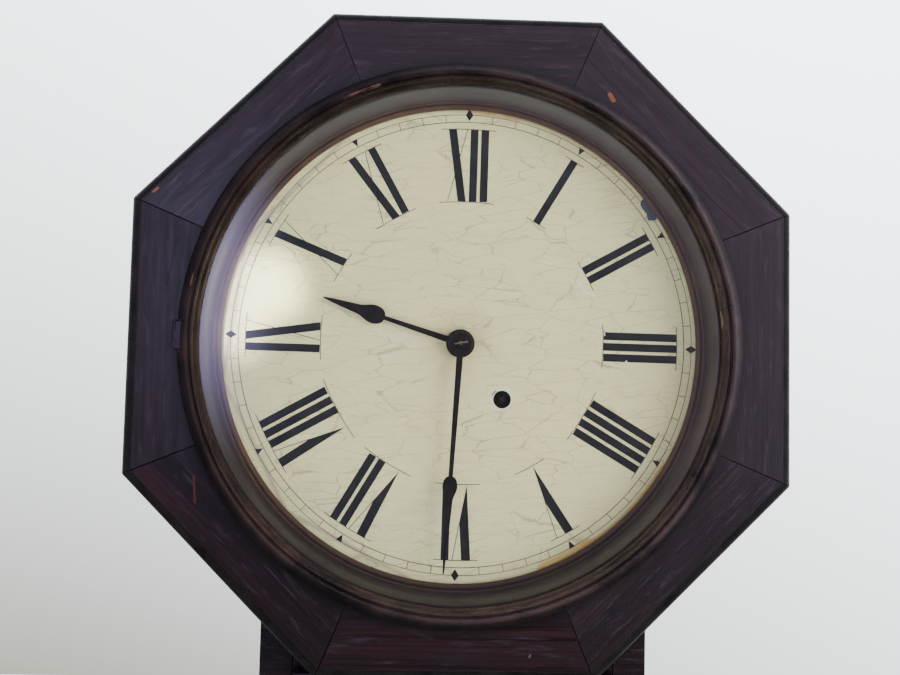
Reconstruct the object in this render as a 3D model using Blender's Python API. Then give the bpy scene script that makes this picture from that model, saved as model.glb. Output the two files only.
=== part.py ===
"""Drop-octagon schoolhouse wall clock, modelled as the pieces it comes apart into.

Frame: +Z up, the front faces -Y, +X is to the right of someone facing the clock.  The origin
lies on the wall plane, straight behind the middle of the dial.  Sizes are in millimetres and
"depth" is the distance from the wall towards the viewer; both become metres in `place`.
"""
import math

import bmesh
import bpy
from mathutils import Vector
from mathutils.geometry import tessellate_polygon

MM = 0.001
GAP = 0.3                       # running clearance between neighbouring pieces

# ---- driving dimensions: case ---------------------------------------------------------------
OCTAGON_FLATS = 400.0           # across the flats of the octagon
OCTAGON_HOLE_R = 163.0
OCTAGON_BACK = 79.6
OCTAGON_FRONT = 110.0
CASE_HALF_WIDTH = 120.5
CASE_TOP = 154.0
CASE_CHAMFER_Z = -272.0         # where the sides start to slope inwards
CASE_BOTTOM = -335.0
CASE_BOTTOM_HALF_WIDTH = 62.0
BOARD = 10.0
CASE_FRONT = 68.7               # front edge of the box boards
FRAME_BACK = 69.0
FRAME_FRONT = 79.0
STILE = 20.0                    # width of the outer front frame
INSET_TOP = -150.0              # top of the inner trunk frame
INSET_WIDTH = 12.0
DOOR_TOP = -203.0
DOOR_INSET = 22.0
DOOR_FRAME_WIDTH = 16.0
DOOR_BACK = 79.3
DOOR_FRONT = 90.0

# ---- driving dimensions: dial and bezel -----------------------------------------------------
DIAL_R = 162.5
DIAL_BACK = 80.6
DIAL_FRONT = 81.2
WINDING_HOLE_R = 5.65
BEZEL_OUTER_R = 168.4
BEZEL_LIP_R = 157.8
BEZEL_BACK = 110.4
GLASS_R = 161.0
GLASS_BACK = 103.6
GLASS_FRONT = 105.7
BEZEL_AXIS = (-169.6, 111.9)    # x and depth of the vertical hinge axis
DOOR_AXIS = (-101.0, 81.4)
ROUND_STEPS = 64                # sides of the large round pieces

# ---- driving dimensions: movement -----------------------------------------------------------
BACK_PLATE = (34.0, 35.6)
FRONT_PLATE = (66.0, 67.6)
PLATE_LEFT, PLATE_RIGHT = -37.0, 58.0
PLATE_LOW, PLATE_HIGH = -67.0, 66.0
CENTRE = (0.0, 0.0)
WINDING = (27.3, -34.8)
CLICK_PIVOT = (0.0, 15.0)       # from the winding arbor
VERGE = (0.0, 55.0)
ESCAPE = (0.0, 36.0)
PIVOT_R = 0.9
PIVOT_HOLE_R = 1.3
GREAT_TEETH, INTERMEDIATE_LEAVES, GREAT_MODULE = 50, 10, 1.08
INTERMEDIATE_TEETH, CENTRE_LEAVES, INTERMEDIATE_MODULE = 40, 10, 0.95
CENTRE_TEETH, THIRD_LEAVES, CENTRE_MODULE = 72, 7, 0.55
THIRD_TEETH, ESCAPE_LEAVES, THIRD_MODULE = 70, 7, 0.5
ESCAPE_TEETH, ESCAPE_TIP_R, ESCAPE_ROOT_R = 32, 15.0, 12.6
CANNON_LEAVES, MINUTE_TEETH, CANNON_MODULE = 12, 36, 0.75
MINUTE_LEAVES, HOUR_TEETH, HOUR_MODULE = 10, 40, 0.72
MINUTE_ANGLE = 183.1            # hands at rest, degrees clockwise from twelve
HOUR_ANGLE = 287.4

# ---- driving dimensions: pendulum -----------------------------------------------------------
PENDULUM_DEPTH = 22.0
PENDULUM_PIVOT_Z = 59.5
BOB_Z = -246.0
BOB_R = 31.0

FINISHES = {
    "stained_wood": ((0.055, 0.022, 0.030), 0.42, 0.0),
    "plain_wood": ((0.30, 0.19, 0.11), 0.70, 0.0),
    "painted_dial": ((0.78, 0.74, 0.62), 0.45, 0.0),
    "glass": ((0.85, 0.90, 0.90), 0.05, 0.0),
    "brass": ((0.62, 0.46, 0.20), 0.35, 1.0),
    "tarnished_brass": ((0.22, 0.17, 0.12), 0.45, 1.0),
    "blued_steel": ((0.05, 0.04, 0.05), 0.40, 1.0),
    "steel": ((0.45, 0.45, 0.46), 0.35, 1.0),
    "putty": ((0.45, 0.38, 0.26), 0.85, 0.0),
}


# ---- mesh helpers ---------------------------------------------------------------------------
def place(x, depth, z):
    """Millimetres (x, depth, z) to metres in the world frame."""
    return Vector((x, -depth, z)) * MM


def finish(name):
    """The Principled material of one finish, made once."""
    material = bpy.data.materials.get(name)
    if material:
        return material
    colour, roughness, metallic = FINISHES[name]
    material = bpy.data.materials.new(name)
    material.use_nodes = True
    shader = material.node_tree.nodes["Principled BSDF"]
    shader.inputs["Base Color"].default_value = (*colour, 1.0)
    shader.inputs["Roughness"].default_value = roughness
    shader.inputs["Metallic"].default_value = metallic
    return material


def add_piece(name, points, faces, material, origin=(0.0, 0.0, 0.0), turn=0.0):
    """One object from (x, depth, z) points; its origin is at `origin`, turned clockwise."""
    base = place(*origin)
    mesh = bpy.data.meshes.new(name)
    mesh.from_pydata([place(*point) - base for point in points], [], faces)
    shell = bmesh.new()
    shell.from_mesh(mesh)
    bmesh.ops.recalc_face_normals(shell, faces=shell.faces)
    shell.to_mesh(mesh)
    shell.free()
    mesh.shade_smooth()
    mesh.set_sharp_from_angle(angle=math.radians(32))
    mesh.materials.append(finish(material))
    piece = bpy.data.objects.new(name, mesh)
    piece.location = base
    piece.rotation_euler = (0.0, math.radians(turn), 0.0)
    bpy.context.scene.collection.objects.link(piece)
    return piece


def circle(radius, steps=20, centre=(0.0, 0.0), start=0.0):
    """Points clockwise from twelve o'clock."""
    angles = [start + 2 * math.pi * step / steps for step in range(steps)]
    return [(centre[0] + radius * math.sin(a), centre[1] + radius * math.cos(a)) for a in angles]


def moved(outline, centre):
    return [(x + centre[0], z + centre[1]) for x, z in outline]


def cap(outlines, depth, index_lists):
    """Triangles that fill an outline with holes."""
    loops = [[Vector((x, z, 0.0)) for x, z in outline] for outline in outlines]
    flat = [index for indices in index_lists for index in indices]
    return [tuple(flat[i] for i in triangle) for triangle in tessellate_polygon(loops)]


def layered(name, layers, material, centre=(0.0, 0.0), bore=None, turn=0.0, to_xyz=None):
    """A closed solid of stacked outlines.

    A layer is (outline, holes, start, end).  Neighbouring outlines lie one inside the other.
    `bore` is a hole through every layer.  `to_xyz` maps (a, b, height) to (x, depth, z).
    """
    to_xyz = to_xyz or (lambda a, b, height: (a + centre[0], height, b + centre[1]))
    points = []
    faces = []

    def ring(outline, height):
        first = len(points)
        points.extend(to_xyz(a, b, height) for a, b in outline)
        return list(range(first, len(points)))

    def wall(low, high):
        count = len(low)
        for i in range(count):
            j = (i + 1) % count
            faces.append((low[i], low[j], high[j], high[i]))

    bore = bore or []
    bore_low = ring(bore, layers[0][2])
    bore_high = ring(bore, layers[-1][3])
    wall(bore_low, bore_high)
    below = None
    for outline, holes, start, end in layers:
        low, high = ring(outline, start), ring(outline, end)
        wall(low, high)
        hole_rings = [(ring(hole, start), ring(hole, end)) for hole in holes]
        for hole_low, hole_high in hole_rings:
            wall(hole_low, hole_high)
        low_holes = [pair[0] for pair in hole_rings]
        if below is None:
            loops = [outline, *holes] + ([bore] if bore else [])
            indices = [low, *low_holes] + ([bore_low] if bore else [])
            faces.extend(cap(loops, start, indices))
        else:
            faces.extend(shoulder(below, (outline, holes, low, low_holes)))
        below = (outline, holes, high, [pair[1] for pair in hole_rings])
    outline, holes, high, high_holes = below
    loops = [outline, *holes] + ([bore] if bore else [])
    indices = [high, *high_holes] + ([bore_high] if bore else [])
    faces.extend(cap(loops, 0.0, indices))
    return add_piece(name, points, faces, material, to_xyz(0.0, 0.0, layers[0][2]), turn)


def shoulder(below, above):
    """The step face between two layers: the larger outline less the smaller one."""
    small, large = sorted((below, above), key=lambda layer: max(math.hypot(*p) for p in layer[0]))
    loops = [large[0], small[0], *large[1]]
    return cap(loops, 0.0, [large[2], small[2], *large[3]])


def turned(name, profile, material, steps=24, centre=(0.0, 0.0), axis="depth", bore=False):
    """A lathe piece.  The profile is (radius, height) points; a bored one is a closed loop."""
    points = []
    rings = []
    for radius, height in profile:
        first = len(points)
        count = 1 if radius == 0.0 else steps
        for a, b in circle(radius, count):
            if axis == "depth":
                points.append((centre[0] + a, height, centre[1] + b))
            else:
                points.append((centre[0] + a, centre[1] + b, height))
        rings.append(list(range(first, len(points))))
    faces = []
    pairs = list(zip(rings, rings[1:]))
    if bore:
        pairs.append((rings[-1], rings[0]))
    for low, high in pairs:
        for i in range(steps):
            j = (i + 1) % steps
            corners = [low[i % len(low)], low[j % len(low)], high[j % len(high)], high[i % len(high)]]
            faces.append(tuple(dict.fromkeys(corners)))
    if axis == "depth":
        origin = (centre[0], profile[0][1], centre[1])
    else:
        origin = (centre[0], centre[1], profile[0][1])
    return add_piece(name, points, faces, material, origin)


def block(name, low, high, material="brass"):
    """A box between two (x, depth, z) corners."""
    outline = [(low[0], low[2]), (low[0], high[2]), (high[0], high[2]), (high[0], low[2])]
    return layered(name, [(outline, [], low[1], high[1])], material)


def upright(name, outline, low, high, material, bore=None):
    """An (x, depth) outline extruded from z = low to z = high."""
    return layered(name, [(outline, [], low, high)], material, bore=bore,
                   to_xyz=lambda x, depth, z: (x, depth, z))


def combine(piece, tool, operation):
    """Union with, or cut by, a tool object that is not itself a piece."""
    tool.hide_render = True
    tool.display_type = "WIRE"
    modifier = piece.modifiers.new(tool.name, "BOOLEAN")
    modifier.operation = operation
    modifier.object = tool


# ---- outlines -------------------------------------------------------------------------------
def inset(outline, distance):
    """A convex outline moved inwards by `distance` (points run clockwise)."""
    lines = []
    for (ax, az), (bx, bz) in zip(outline, outline[1:] + outline[:1]):
        length = math.hypot(bx - ax, bz - az)
        nx, nz = (bz - az) / length, -(bx - ax) / length
        lines.append((ax + nx * distance, az + nz * distance, bx - ax, bz - az))
    result = []
    for before, after in zip(lines[-1:] + lines[:-1], lines):
        cross = before[2] * after[3] - before[3] * after[2]
        along = ((after[0] - before[0]) * after[3] - (after[1] - before[1]) * after[2]) / cross
        result.append((before[0] + before[2] * along, before[1] + before[3] * along))
    return result


def trunk_outline(top):
    """Front view of the case, clockwise from its top left corner."""
    return [(-CASE_HALF_WIDTH, top), (CASE_HALF_WIDTH, top), (CASE_HALF_WIDTH, CASE_CHAMFER_Z),
            (CASE_BOTTOM_HALF_WIDTH, CASE_BOTTOM), (-CASE_BOTTOM_HALF_WIDTH, CASE_BOTTOM),
            (-CASE_HALF_WIDTH, CASE_CHAMFER_Z)]


def mitred_board(outline, index, width):
    """The board along one side of an outline, its mitred ends half a gap short."""
    inner = inset(outline, width)
    corner, following = outline[index], outline[(index + 1) % len(outline)]
    length = math.hypot(following[0] - corner[0], following[1] - corner[1])
    step_x = (following[0] - corner[0]) / length * GAP
    step_z = (following[1] - corner[1]) / length * GAP
    inner_corner, inner_following = inner[index], inner[(index + 1) % len(outline)]
    return [(corner[0] + step_x, corner[1] + step_z), (following[0] - step_x, following[1] - step_z),
            (inner_following[0] - step_x, inner_following[1] - step_z),
            (inner_corner[0] + step_x, inner_corner[1] + step_z)]


def gear(teeth, module, addendum, dedendum, root, tip, phase=0.0):
    """Four points a tooth; root and tip are half thicknesses as shares of the pitch."""
    pitch = 2 * math.pi / teeth
    low = teeth * module / 2 - dedendum * module
    high = teeth * module / 2 + addendum * module
    outline = []
    for tooth in range(teeth):
        for radius, share in ((low, -root), (high, -tip), (high, tip), (low, root)):
            angle = (tooth + phase + share) * pitch
            outline.append((radius * math.sin(angle), radius * math.cos(angle)))
    return outline


def wheel(teeth, module, phase=0.0):
    return gear(teeth, module, 0.85, 1.10, 0.24, 0.08, phase)


def pinion(leaves, module, phase=0.0):
    return gear(leaves, module, 0.70, 1.20, 0.16, 0.09, phase)


def meshing_phase(driver_teeth, driver_phase, teeth, driver_centre, centre):
    """The phase that puts a gap of the driven gear opposite a tooth of the driver."""
    bearing = math.atan2(centre[0] - driver_centre[0], centre[1] - driver_centre[1])
    driver_share = bearing * driver_teeth / (2 * math.pi) - driver_phase
    return (bearing + math.pi) * teeth / (2 * math.pi) + driver_share - 0.5


def crossings(inner, outer, count=4, bar=2.4, steps=3):
    """The windows between the spokes of a wheel."""
    windows = []
    for window in range(count):
        middle = 2 * math.pi * (window + 0.5) / count
        outline = []
        for radius, way in ((outer, 1), (inner, -1)):
            half = math.pi / count - math.asin(bar / 2 / radius)
            for step in range(steps + 1):
                angle = middle + way * half * (2 * step / steps - 1)
                outline.append((radius * math.sin(angle), radius * math.cos(angle)))
        windows.append(outline)
    return windows


def meeting_point(first, first_distance, second, second_distance, side):
    """The point at two given distances from two centres."""
    dx, dz = second[0] - first[0], second[1] - first[1]
    span = math.hypot(dx, dz)
    along = (first_distance ** 2 - second_distance ** 2 + span ** 2) / (2 * span)
    across = side * math.sqrt(first_distance ** 2 - along ** 2)
    ux, uz = dx / span, dz / span
    return (first[0] + ux * along - uz * across, first[1] + uz * along + ux * across)


# ---- wheel centres --------------------------------------------------------------------------
INTERMEDIATE = meeting_point(
    CENTRE, (INTERMEDIATE_TEETH + CENTRE_LEAVES) * INTERMEDIATE_MODULE / 2,
    WINDING, (GREAT_TEETH + INTERMEDIATE_LEAVES) * GREAT_MODULE / 2, -1)
THIRD = meeting_point(
    CENTRE, (CENTRE_TEETH + THIRD_LEAVES) * CENTRE_MODULE / 2,
    ESCAPE, (THIRD_TEETH + ESCAPE_LEAVES) * THIRD_MODULE / 2, -1)
MOTION_DISTANCE = (CANNON_LEAVES + MINUTE_TEETH) * CANNON_MODULE / 2
MINUTE_STUD = (-MOTION_DISTANCE * math.sqrt(0.5), -MOTION_DISTANCE * math.sqrt(0.5))


# ---- case -----------------------------------------------------------------------------------
def make_case():
    outline = trunk_outline(CASE_TOP)
    names = ("case_top", "case_side_right", "case_slope_right", "case_bottom", "case_slope_left",
             "case_side_left")
    for index, name in enumerate(names):
        board = mitred_board(outline, index, BOARD)
        layered(name, [(board, [], 0.0, CASE_FRONT)], "stained_wood")
    hanger_hole = circle(9.0, 16, (0.0, 128.0))
    layered("back_board", [(inset(outline, BOARD + GAP), [hanger_hole], 0.0, BOARD)], "plain_wood")
    frame = inset(outline, STILE)
    layered("front_frame", [(outline, [frame], FRAME_BACK, FRAME_FRONT)], "stained_wood")
    inner = inset(trunk_outline(INSET_TOP + STILE), STILE + 2 * GAP)
    layered("trunk_inner_frame", [(inner, [inset(inner, INSET_WIDTH)], FRAME_BACK, FRAME_FRONT)],
            "stained_wood")
    make_hanger()


def make_hanger():
    """A steel plate with a keyhole, over the hole in the back board."""
    keyhole = [(2.2 * side, 128.0 + 8.0) for side in (-1, 1)]
    start = math.asin(2.2 / 5.0)
    for step in range(11):
        angle = start + (2 * math.pi - 2 * start) * step / 10
        keyhole.append((5.0 * math.sin(angle), 128.0 + 5.0 * math.cos(angle)))
    plate = [(-14.0, 112.0), (-14.0, 142.0), (14.0, 142.0), (14.0, 112.0)]
    layered("hanger_plate", [(plate, [keyhole], BOARD + GAP, BOARD + 1.8)], "steel")


def octagon_profile():
    """Outer edge of the octagon: (distance from the middle, depth), front to back."""
    edge = OCTAGON_FLATS / 2
    points = [(edge - 7.5, OCTAGON_FRONT), (edge - 6.8, OCTAGON_FRONT - 1.2)]
    for step in range(5):
        angle = math.pi / 2 * step / 4
        points.append((edge - 6.4 + 6.4 * math.sin(angle), OCTAGON_FRONT - 7.4 + 6.4 * math.cos(angle)))
    return points + [(edge, OCTAGON_BACK)]


def make_octagon(stations=6):
    """Eight mitred segments, each with a straight moulded edge and a curved inner one."""
    names = ("top", "upper_right", "right", "lower_right", "bottom", "lower_left", "left",
             "upper_left")
    half = math.radians(22.5)
    profile = octagon_profile()
    inner_half = half - GAP / 2 / OCTAGON_HOLE_R
    for index, name in enumerate(names):
        turn = index * 2 * half
        points = []
        for station in range(stations + 1):
            share = 2 * station / stations - 1
            angle = share * inner_half
            section = [(OCTAGON_HOLE_R * math.cos(angle), OCTAGON_HOLE_R * math.sin(angle), depth)
                       for depth in (OCTAGON_BACK, OCTAGON_FRONT)]
            for reach, depth in profile:
                along = share * (reach * math.tan(half) - GAP / 2 / math.cos(half))
                section.append((reach, along, depth))
            for reach, along, depth in section:
                x = reach * math.sin(turn) + along * math.cos(turn)
                z = reach * math.cos(turn) - along * math.sin(turn)
                points.append((x, depth, z))
        count = len(profile) + 2
        faces = [tuple(range(count)), tuple(range(stations * count, (stations + 1) * count))]
        for station in range(stations):
            for i in range(count):
                j = (i + 1) % count
                low, high = station * count, (station + 1) * count
                faces.append((low + i, low + j, high + j, high + i))
        add_piece("octagon_" + name, points, faces, "stained_wood",
                  (180.0 * math.sin(turn), OCTAGON_BACK, 180.0 * math.cos(turn)))


# ---- bezel and dial -------------------------------------------------------------------------
def make_bezel():
    profile = [(BEZEL_LIP_R, 106.0), (BEZEL_LIP_R, 108.6), (159.4, 113.4), (160.9, 114.6),
               (161.9, 115.9), (163.6, 115.6), (BEZEL_OUTER_R, 111.4),
               (BEZEL_OUTER_R, BEZEL_BACK), (162.4, BEZEL_BACK), (162.4, 102.2),
               (161.3, 102.2), (161.3, 106.0)]
    ring = turned("bezel_ring", profile, "stained_wood", steps=ROUND_STEPS, bore=True)
    notch = block("bezel_hinge_notch", (-174.0, 109.0, -9.8), (-161.5, 113.8, 9.8))
    combine(ring, notch, "DIFFERENCE")
    turned("bezel_glass", [(0.0, GLASS_BACK), (GLASS_R, GLASS_BACK), (GLASS_R, GLASS_FRONT),
                           (0.0, GLASS_FRONT)], "glass", steps=ROUND_STEPS)
    putty = [(159.4, 103.3), (GLASS_R, 102.4), (GLASS_R, 103.3)]
    turned("bezel_putty", putty, "putty", steps=ROUND_STEPS, bore=True)
    sight = [(148.4, 82.2), (156.2, 82.2), (158.3, 100.8), (162.3, 100.8), (162.3, 101.6),
             (157.4, 101.6), (154.8, 86.0), (151.8, 86.2), (149.0, 84.4)]
    turned("sight_ring", sight, "tarnished_brass", steps=ROUND_STEPS, bore=True)


def make_dial():
    holes = [circle(5.4, 16), circle(WINDING_HOLE_R, 16, WINDING)]
    layered("dial", [(circle(DIAL_R, ROUND_STEPS), holes, DIAL_BACK, DIAL_FRONT)], "painted_dial")


def make_hinge(name, axis, fixed_leaf, moving_leaf, half_length, barrel_r, middle=(0.0, 0.0)):
    """A butt hinge: outer knuckles on the fixed leaf, a middle one on the moving leaf.

    A leaf is its (x, depth) outline, which reaches into the barrel.
    """
    low, high = middle[1] - half_length, middle[1] + half_length
    third = half_length / 3
    barrel = moved(circle(barrel_r, 12), axis)
    fixed = upright(name + "_fixed_leaf", fixed_leaf, low, high, "tarnished_brass")
    moving = upright(name + "_moving_leaf", moving_leaf, low, high, "tarnished_brass")
    for part, spans in ((fixed, ((low, middle[1] - third), (middle[1] + third, high))),
                        (moving, ((middle[1] - third + GAP, middle[1] + third - GAP),))):
        others = [(low - 1, middle[1] - third + GAP), (middle[1] + third - GAP, high + 1)]
        if part is fixed:
            others = [(middle[1] - third, middle[1] + third)]
        for index, span in enumerate(others):
            clearance = moved(circle(barrel_r + GAP, 12), axis)
            tool = upright(f"{part.name}_relief_{index}", clearance, *span, "brass")
            combine(part, tool, "DIFFERENCE")
        for index, span in enumerate(spans):
            knuckle = upright(f"{part.name}_knuckle_{index}", barrel, *span, "brass")
            combine(part, knuckle, "UNION")
        bore = upright(part.name + "_bore", moved(circle(barrel_r * 0.62, 8), axis), low - 2,
                       high + 2, "brass")
        combine(part, bore, "DIFFERENCE")
    pin_r = barrel_r * 0.62 - GAP
    turned(name + "_pin", [(0.0, low - 0.8), (pin_r, low - 0.8), (pin_r, high + GAP),
                           (barrel_r, high + GAP), (barrel_r * 0.8, high + 1.2), (0.0, high + 1.2)],
           "tarnished_brass", steps=8, centre=axis, axis="z")


def make_bezel_hinge():
    x, depth = BEZEL_AXIS
    fixed = [(x, depth - 1.5), (x, depth - 0.8), (-163.6, depth - 0.8), (-163.6, depth - 1.5)]
    moving = [(x, depth + 0.8), (x, depth + 1.5), (-162.0, depth + 1.5), (-162.0, depth + 0.8)]
    make_hinge("bezel_hinge", BEZEL_AXIS, fixed, moving, 8.0, 1.5)


# ---- drop door ------------------------------------------------------------------------------
def make_drop_door():
    outer = inset(trunk_outline(DOOR_TOP + DOOR_INSET), DOOR_INSET)
    opening = inset(outer, DOOR_FRAME_WIDTH)
    layered("drop_door_frame", [(outer, [opening], DOOR_BACK, DOOR_FRONT)], "stained_wood")
    layered("drop_door_glass", [(inset(opening, GAP), [], 83.0, 85.0)], "glass")
    knob = [(0.0, 90.3), (3.2, 90.3), (3.0, 91.4), (1.8, 93.0), (1.9, 95.0), (4.4, 97.0),
            (4.8, 99.4), (3.6, 101.4), (0.0, 102.0)]
    turned("drop_door_knob", knob, "brass", steps=14, centre=(90.5, -238.0))
    x, depth = DOOR_AXIS
    fixed = [(-114.0, DOOR_BACK), (-114.0, DOOR_BACK + 1.0), (x, DOOR_BACK + 1.0), (x, DOOR_BACK)]
    edge = -CASE_HALF_WIDTH + DOOR_INSET
    moving = [(x, depth + 1.6), (x + 1.0, depth + 1.8), (x + 1.0, depth + 7.0),
              (edge - GAP, depth + 7.0), (edge - GAP, depth + 0.6), (x, depth + 0.6)]
    make_hinge("drop_door_hinge", DOOR_AXIS, fixed, moving, 9.0, 1.8, (0.0, -240.0))


# ---- movement frame -------------------------------------------------------------------------
def plate_outline():
    cut = 8.0
    return [(PLATE_LEFT, PLATE_LOW + cut), (PLATE_LEFT, PLATE_HIGH - cut),
            (PLATE_LEFT + cut, PLATE_HIGH), (PLATE_RIGHT - cut, PLATE_HIGH),
            (PLATE_RIGHT, PLATE_HIGH - cut), (PLATE_RIGHT, PLATE_LOW + cut),
            (PLATE_RIGHT - cut, PLATE_LOW), (PLATE_LEFT + cut, PLATE_LOW)]


def pillar_centres():
    margin = 8.0
    return [(x, z) for x in (PLATE_LEFT + margin, PLATE_RIGHT - margin)
            for z in (PLATE_LOW + margin, PLATE_HIGH - margin)]


def make_movement_frame():
    pillar_holes = [circle(2.3, 10, centre) for centre in pillar_centres()]
    pivots = [circle(PIVOT_HOLE_R, 10, centre) for centre in (INTERMEDIATE, THIRD, ESCAPE)]
    rear = pivots + [circle(PIVOT_HOLE_R, 10), circle(2.2, 12, WINDING), circle(1.6, 10, VERGE)]
    front = pivots + [circle(1.9, 12), circle(3.4, 16, WINDING), circle(PIVOT_HOLE_R, 10, VERGE),
                      circle(PIVOT_HOLE_R, 10, MINUTE_STUD)]
    layered("movement_back_plate", [(plate_outline(), pillar_holes + rear, *BACK_PLATE)], "brass")
    layered("movement_front_plate", [(plate_outline(), pillar_holes + front, *FRONT_PLATE)],
            "brass")
    for index, centre in enumerate(pillar_centres()):
        profile = [(0.0, BOARD + GAP), (5.5, BOARD + GAP), (5.5, BOARD + 2.4), (3.4, BOARD + 3.4),
                   (3.4, BACK_PLATE[0] - GAP), (2.0, BACK_PLATE[0] - GAP),
                   (2.0, BACK_PLATE[1] + GAP), (3.6, BACK_PLATE[1] + GAP),
                   (2.8, BACK_PLATE[1] + 5.0), (2.8, FRONT_PLATE[0] - 5.0),
                   (3.6, FRONT_PLATE[0] - GAP), (2.0, FRONT_PLATE[0] - GAP),
                   (2.0, FRONT_PLATE[1] + 2.2), (0.0, FRONT_PLATE[1] + 2.2)]
        turned(f"movement_pillar_{index + 1}", profile, "steel", steps=9, centre=centre)


# ---- going train ----------------------------------------------------------------------------
def disc(radius, start, end, steps=12):
    return (circle(radius, steps), [], start, end)


def make_great_wheel():
    click_hole = circle(1.4, 10, CLICK_PIVOT)
    layered("great_wheel", [(wheel(GREAT_TEETH, GREAT_MODULE), [click_hole], 58.0, 60.2)],
            "brass", WINDING, bore=circle(3.4, 16))


def make_winding_arbor():
    """A square key end, a shaft through the great wheel, and a ratchet behind it."""
    ratchet = []
    for tooth in range(16):
        start = 2 * math.pi * tooth / 16
        for radius, share in ((7.4, 0.0), (9.0, 0.92)):
            angle = start + share * 2 * math.pi / 16
            ratchet.append((radius * math.sin(angle), radius * math.cos(angle)))
    square = circle(2.8, 4, start=math.pi / 4)
    layers = [disc(1.8, 33.0, 36.4), disc(4.2, 36.4, 55.6, 16), (ratchet, [], 55.6, 57.0),
              disc(3.0, 57.0, 68.8, 16), (square, [], 68.8, 79.2)]
    layered("winding_arbor", layers, "steel", WINDING)


def make_click():
    """A pawl beside the ratchet, pivoted on the great wheel."""
    outline = [(2.0 * math.sin(a), 2.0 * math.cos(a)) for a in
               [math.pi * step / 6 - math.pi / 2 for step in range(7)]]
    outline += [(1.6, -2.6), (-3.2, -6.2), (-4.2, -5.2), (-2.4, -1.6)]
    centre = (WINDING[0] + CLICK_PIVOT[0], WINDING[1] + CLICK_PIVOT[1])
    layered("click", [(outline, [], 55.7, 57.4), disc(1.05, 57.4, 61.2, 8)], "steel", centre)


def make_mainspring(turns=5, steps=12):
    """The open spring, a flat strip wound round the winding arbor."""
    inner, outer, strip = 6.4, 22.2, 0.5
    count = turns * steps
    edges = ([], [])
    for step in range(count + 1):
        angle = 2 * math.pi * step / steps
        radius = inner + (outer - inner) * step / count
        for edge, offset in zip(edges, (0.0, strip)):
            edge.append(((radius + offset) * math.sin(angle), (radius + offset) * math.cos(angle)))
    strip_outline = edges[1] + edges[0][::-1]
    layered("mainspring", [(strip_outline, [], 37.8, 54.6)], "steel", WINDING)


def make_intermediate_wheel():
    phase = meshing_phase(GREAT_TEETH, 0.0, INTERMEDIATE_LEAVES, WINDING, INTERMEDIATE)
    layers = [disc(PIVOT_R, 33.4, 36.2), disc(1.5, 36.2, 57.0),
              (pinion(INTERMEDIATE_LEAVES, GREAT_MODULE, phase), [], 57.0, 61.0),
              disc(1.5, 61.0, 62.0), (wheel(INTERMEDIATE_TEETH, INTERMEDIATE_MODULE), [], 62.0, 63.4),
              disc(1.5, 63.4, 65.4), disc(PIVOT_R, 65.4, 68.2)]
    layered("intermediate_wheel", layers, "brass", INTERMEDIATE)


def make_centre_wheel():
    phase = meshing_phase(INTERMEDIATE_TEETH, 0.0, CENTRE_LEAVES, INTERMEDIATE, CENTRE)
    spokes = crossings(5.0, 16.0)
    layers = [disc(PIVOT_R, 33.4, 36.2), disc(1.5, 36.2, 48.0),
              (wheel(CENTRE_TEETH, CENTRE_MODULE), spokes, 48.0, 49.4), disc(1.5, 49.4, 61.6),
              (pinion(CENTRE_LEAVES, INTERMEDIATE_MODULE, phase), [], 61.6, 63.8),
              disc(1.5, 63.8, 68.0), disc(1.2, 68.0, 94.2)]
    layered("centre_wheel", layers, "brass", CENTRE)


def make_third_wheel():
    phase = meshing_phase(CENTRE_TEETH, 0.0, THIRD_LEAVES, CENTRE, THIRD)
    layers = [disc(PIVOT_R, 33.4, 36.2), disc(1.0, 36.2, 42.0),
              (wheel(THIRD_TEETH, THIRD_MODULE), crossings(4.5, 14.0), 42.0, 43.2),
              disc(1.0, 43.2, 46.4), (pinion(THIRD_LEAVES, CENTRE_MODULE, phase), [], 46.4, 51.0),
              disc(1.0, 51.0, 65.4), disc(PIVOT_R, 65.4, 68.2)]
    layered("third_wheel", layers, "brass", THIRD)


def make_escape_wheel():
    phase = meshing_phase(THIRD_TEETH, 0.0, ESCAPE_LEAVES, THIRD, ESCAPE)
    pitch = 2 * math.pi / ESCAPE_TEETH
    teeth = []
    for tooth in range(ESCAPE_TEETH):
        for radius, share in ((ESCAPE_ROOT_R, 0.0), (ESCAPE_TIP_R, 0.62), (ESCAPE_ROOT_R, 0.74)):
            angle = (tooth + share) * pitch
            teeth.append((radius * math.sin(angle), radius * math.cos(angle)))
    layers = [disc(0.8, 33.4, 36.2), disc(PIVOT_R, 36.2, 37.5, 10),
              (teeth, crossings(3.5, 10.6, steps=3), 37.5, 38.6), disc(PIVOT_R, 38.6, 40.4, 10),
              (pinion(ESCAPE_LEAVES, THIRD_MODULE, phase), [], 40.4, 45.0),
              disc(PIVOT_R, 45.0, 65.4, 10), disc(0.8, 65.4, 68.2)]
    layered("escape_wheel", layers, "brass", ESCAPE)


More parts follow.
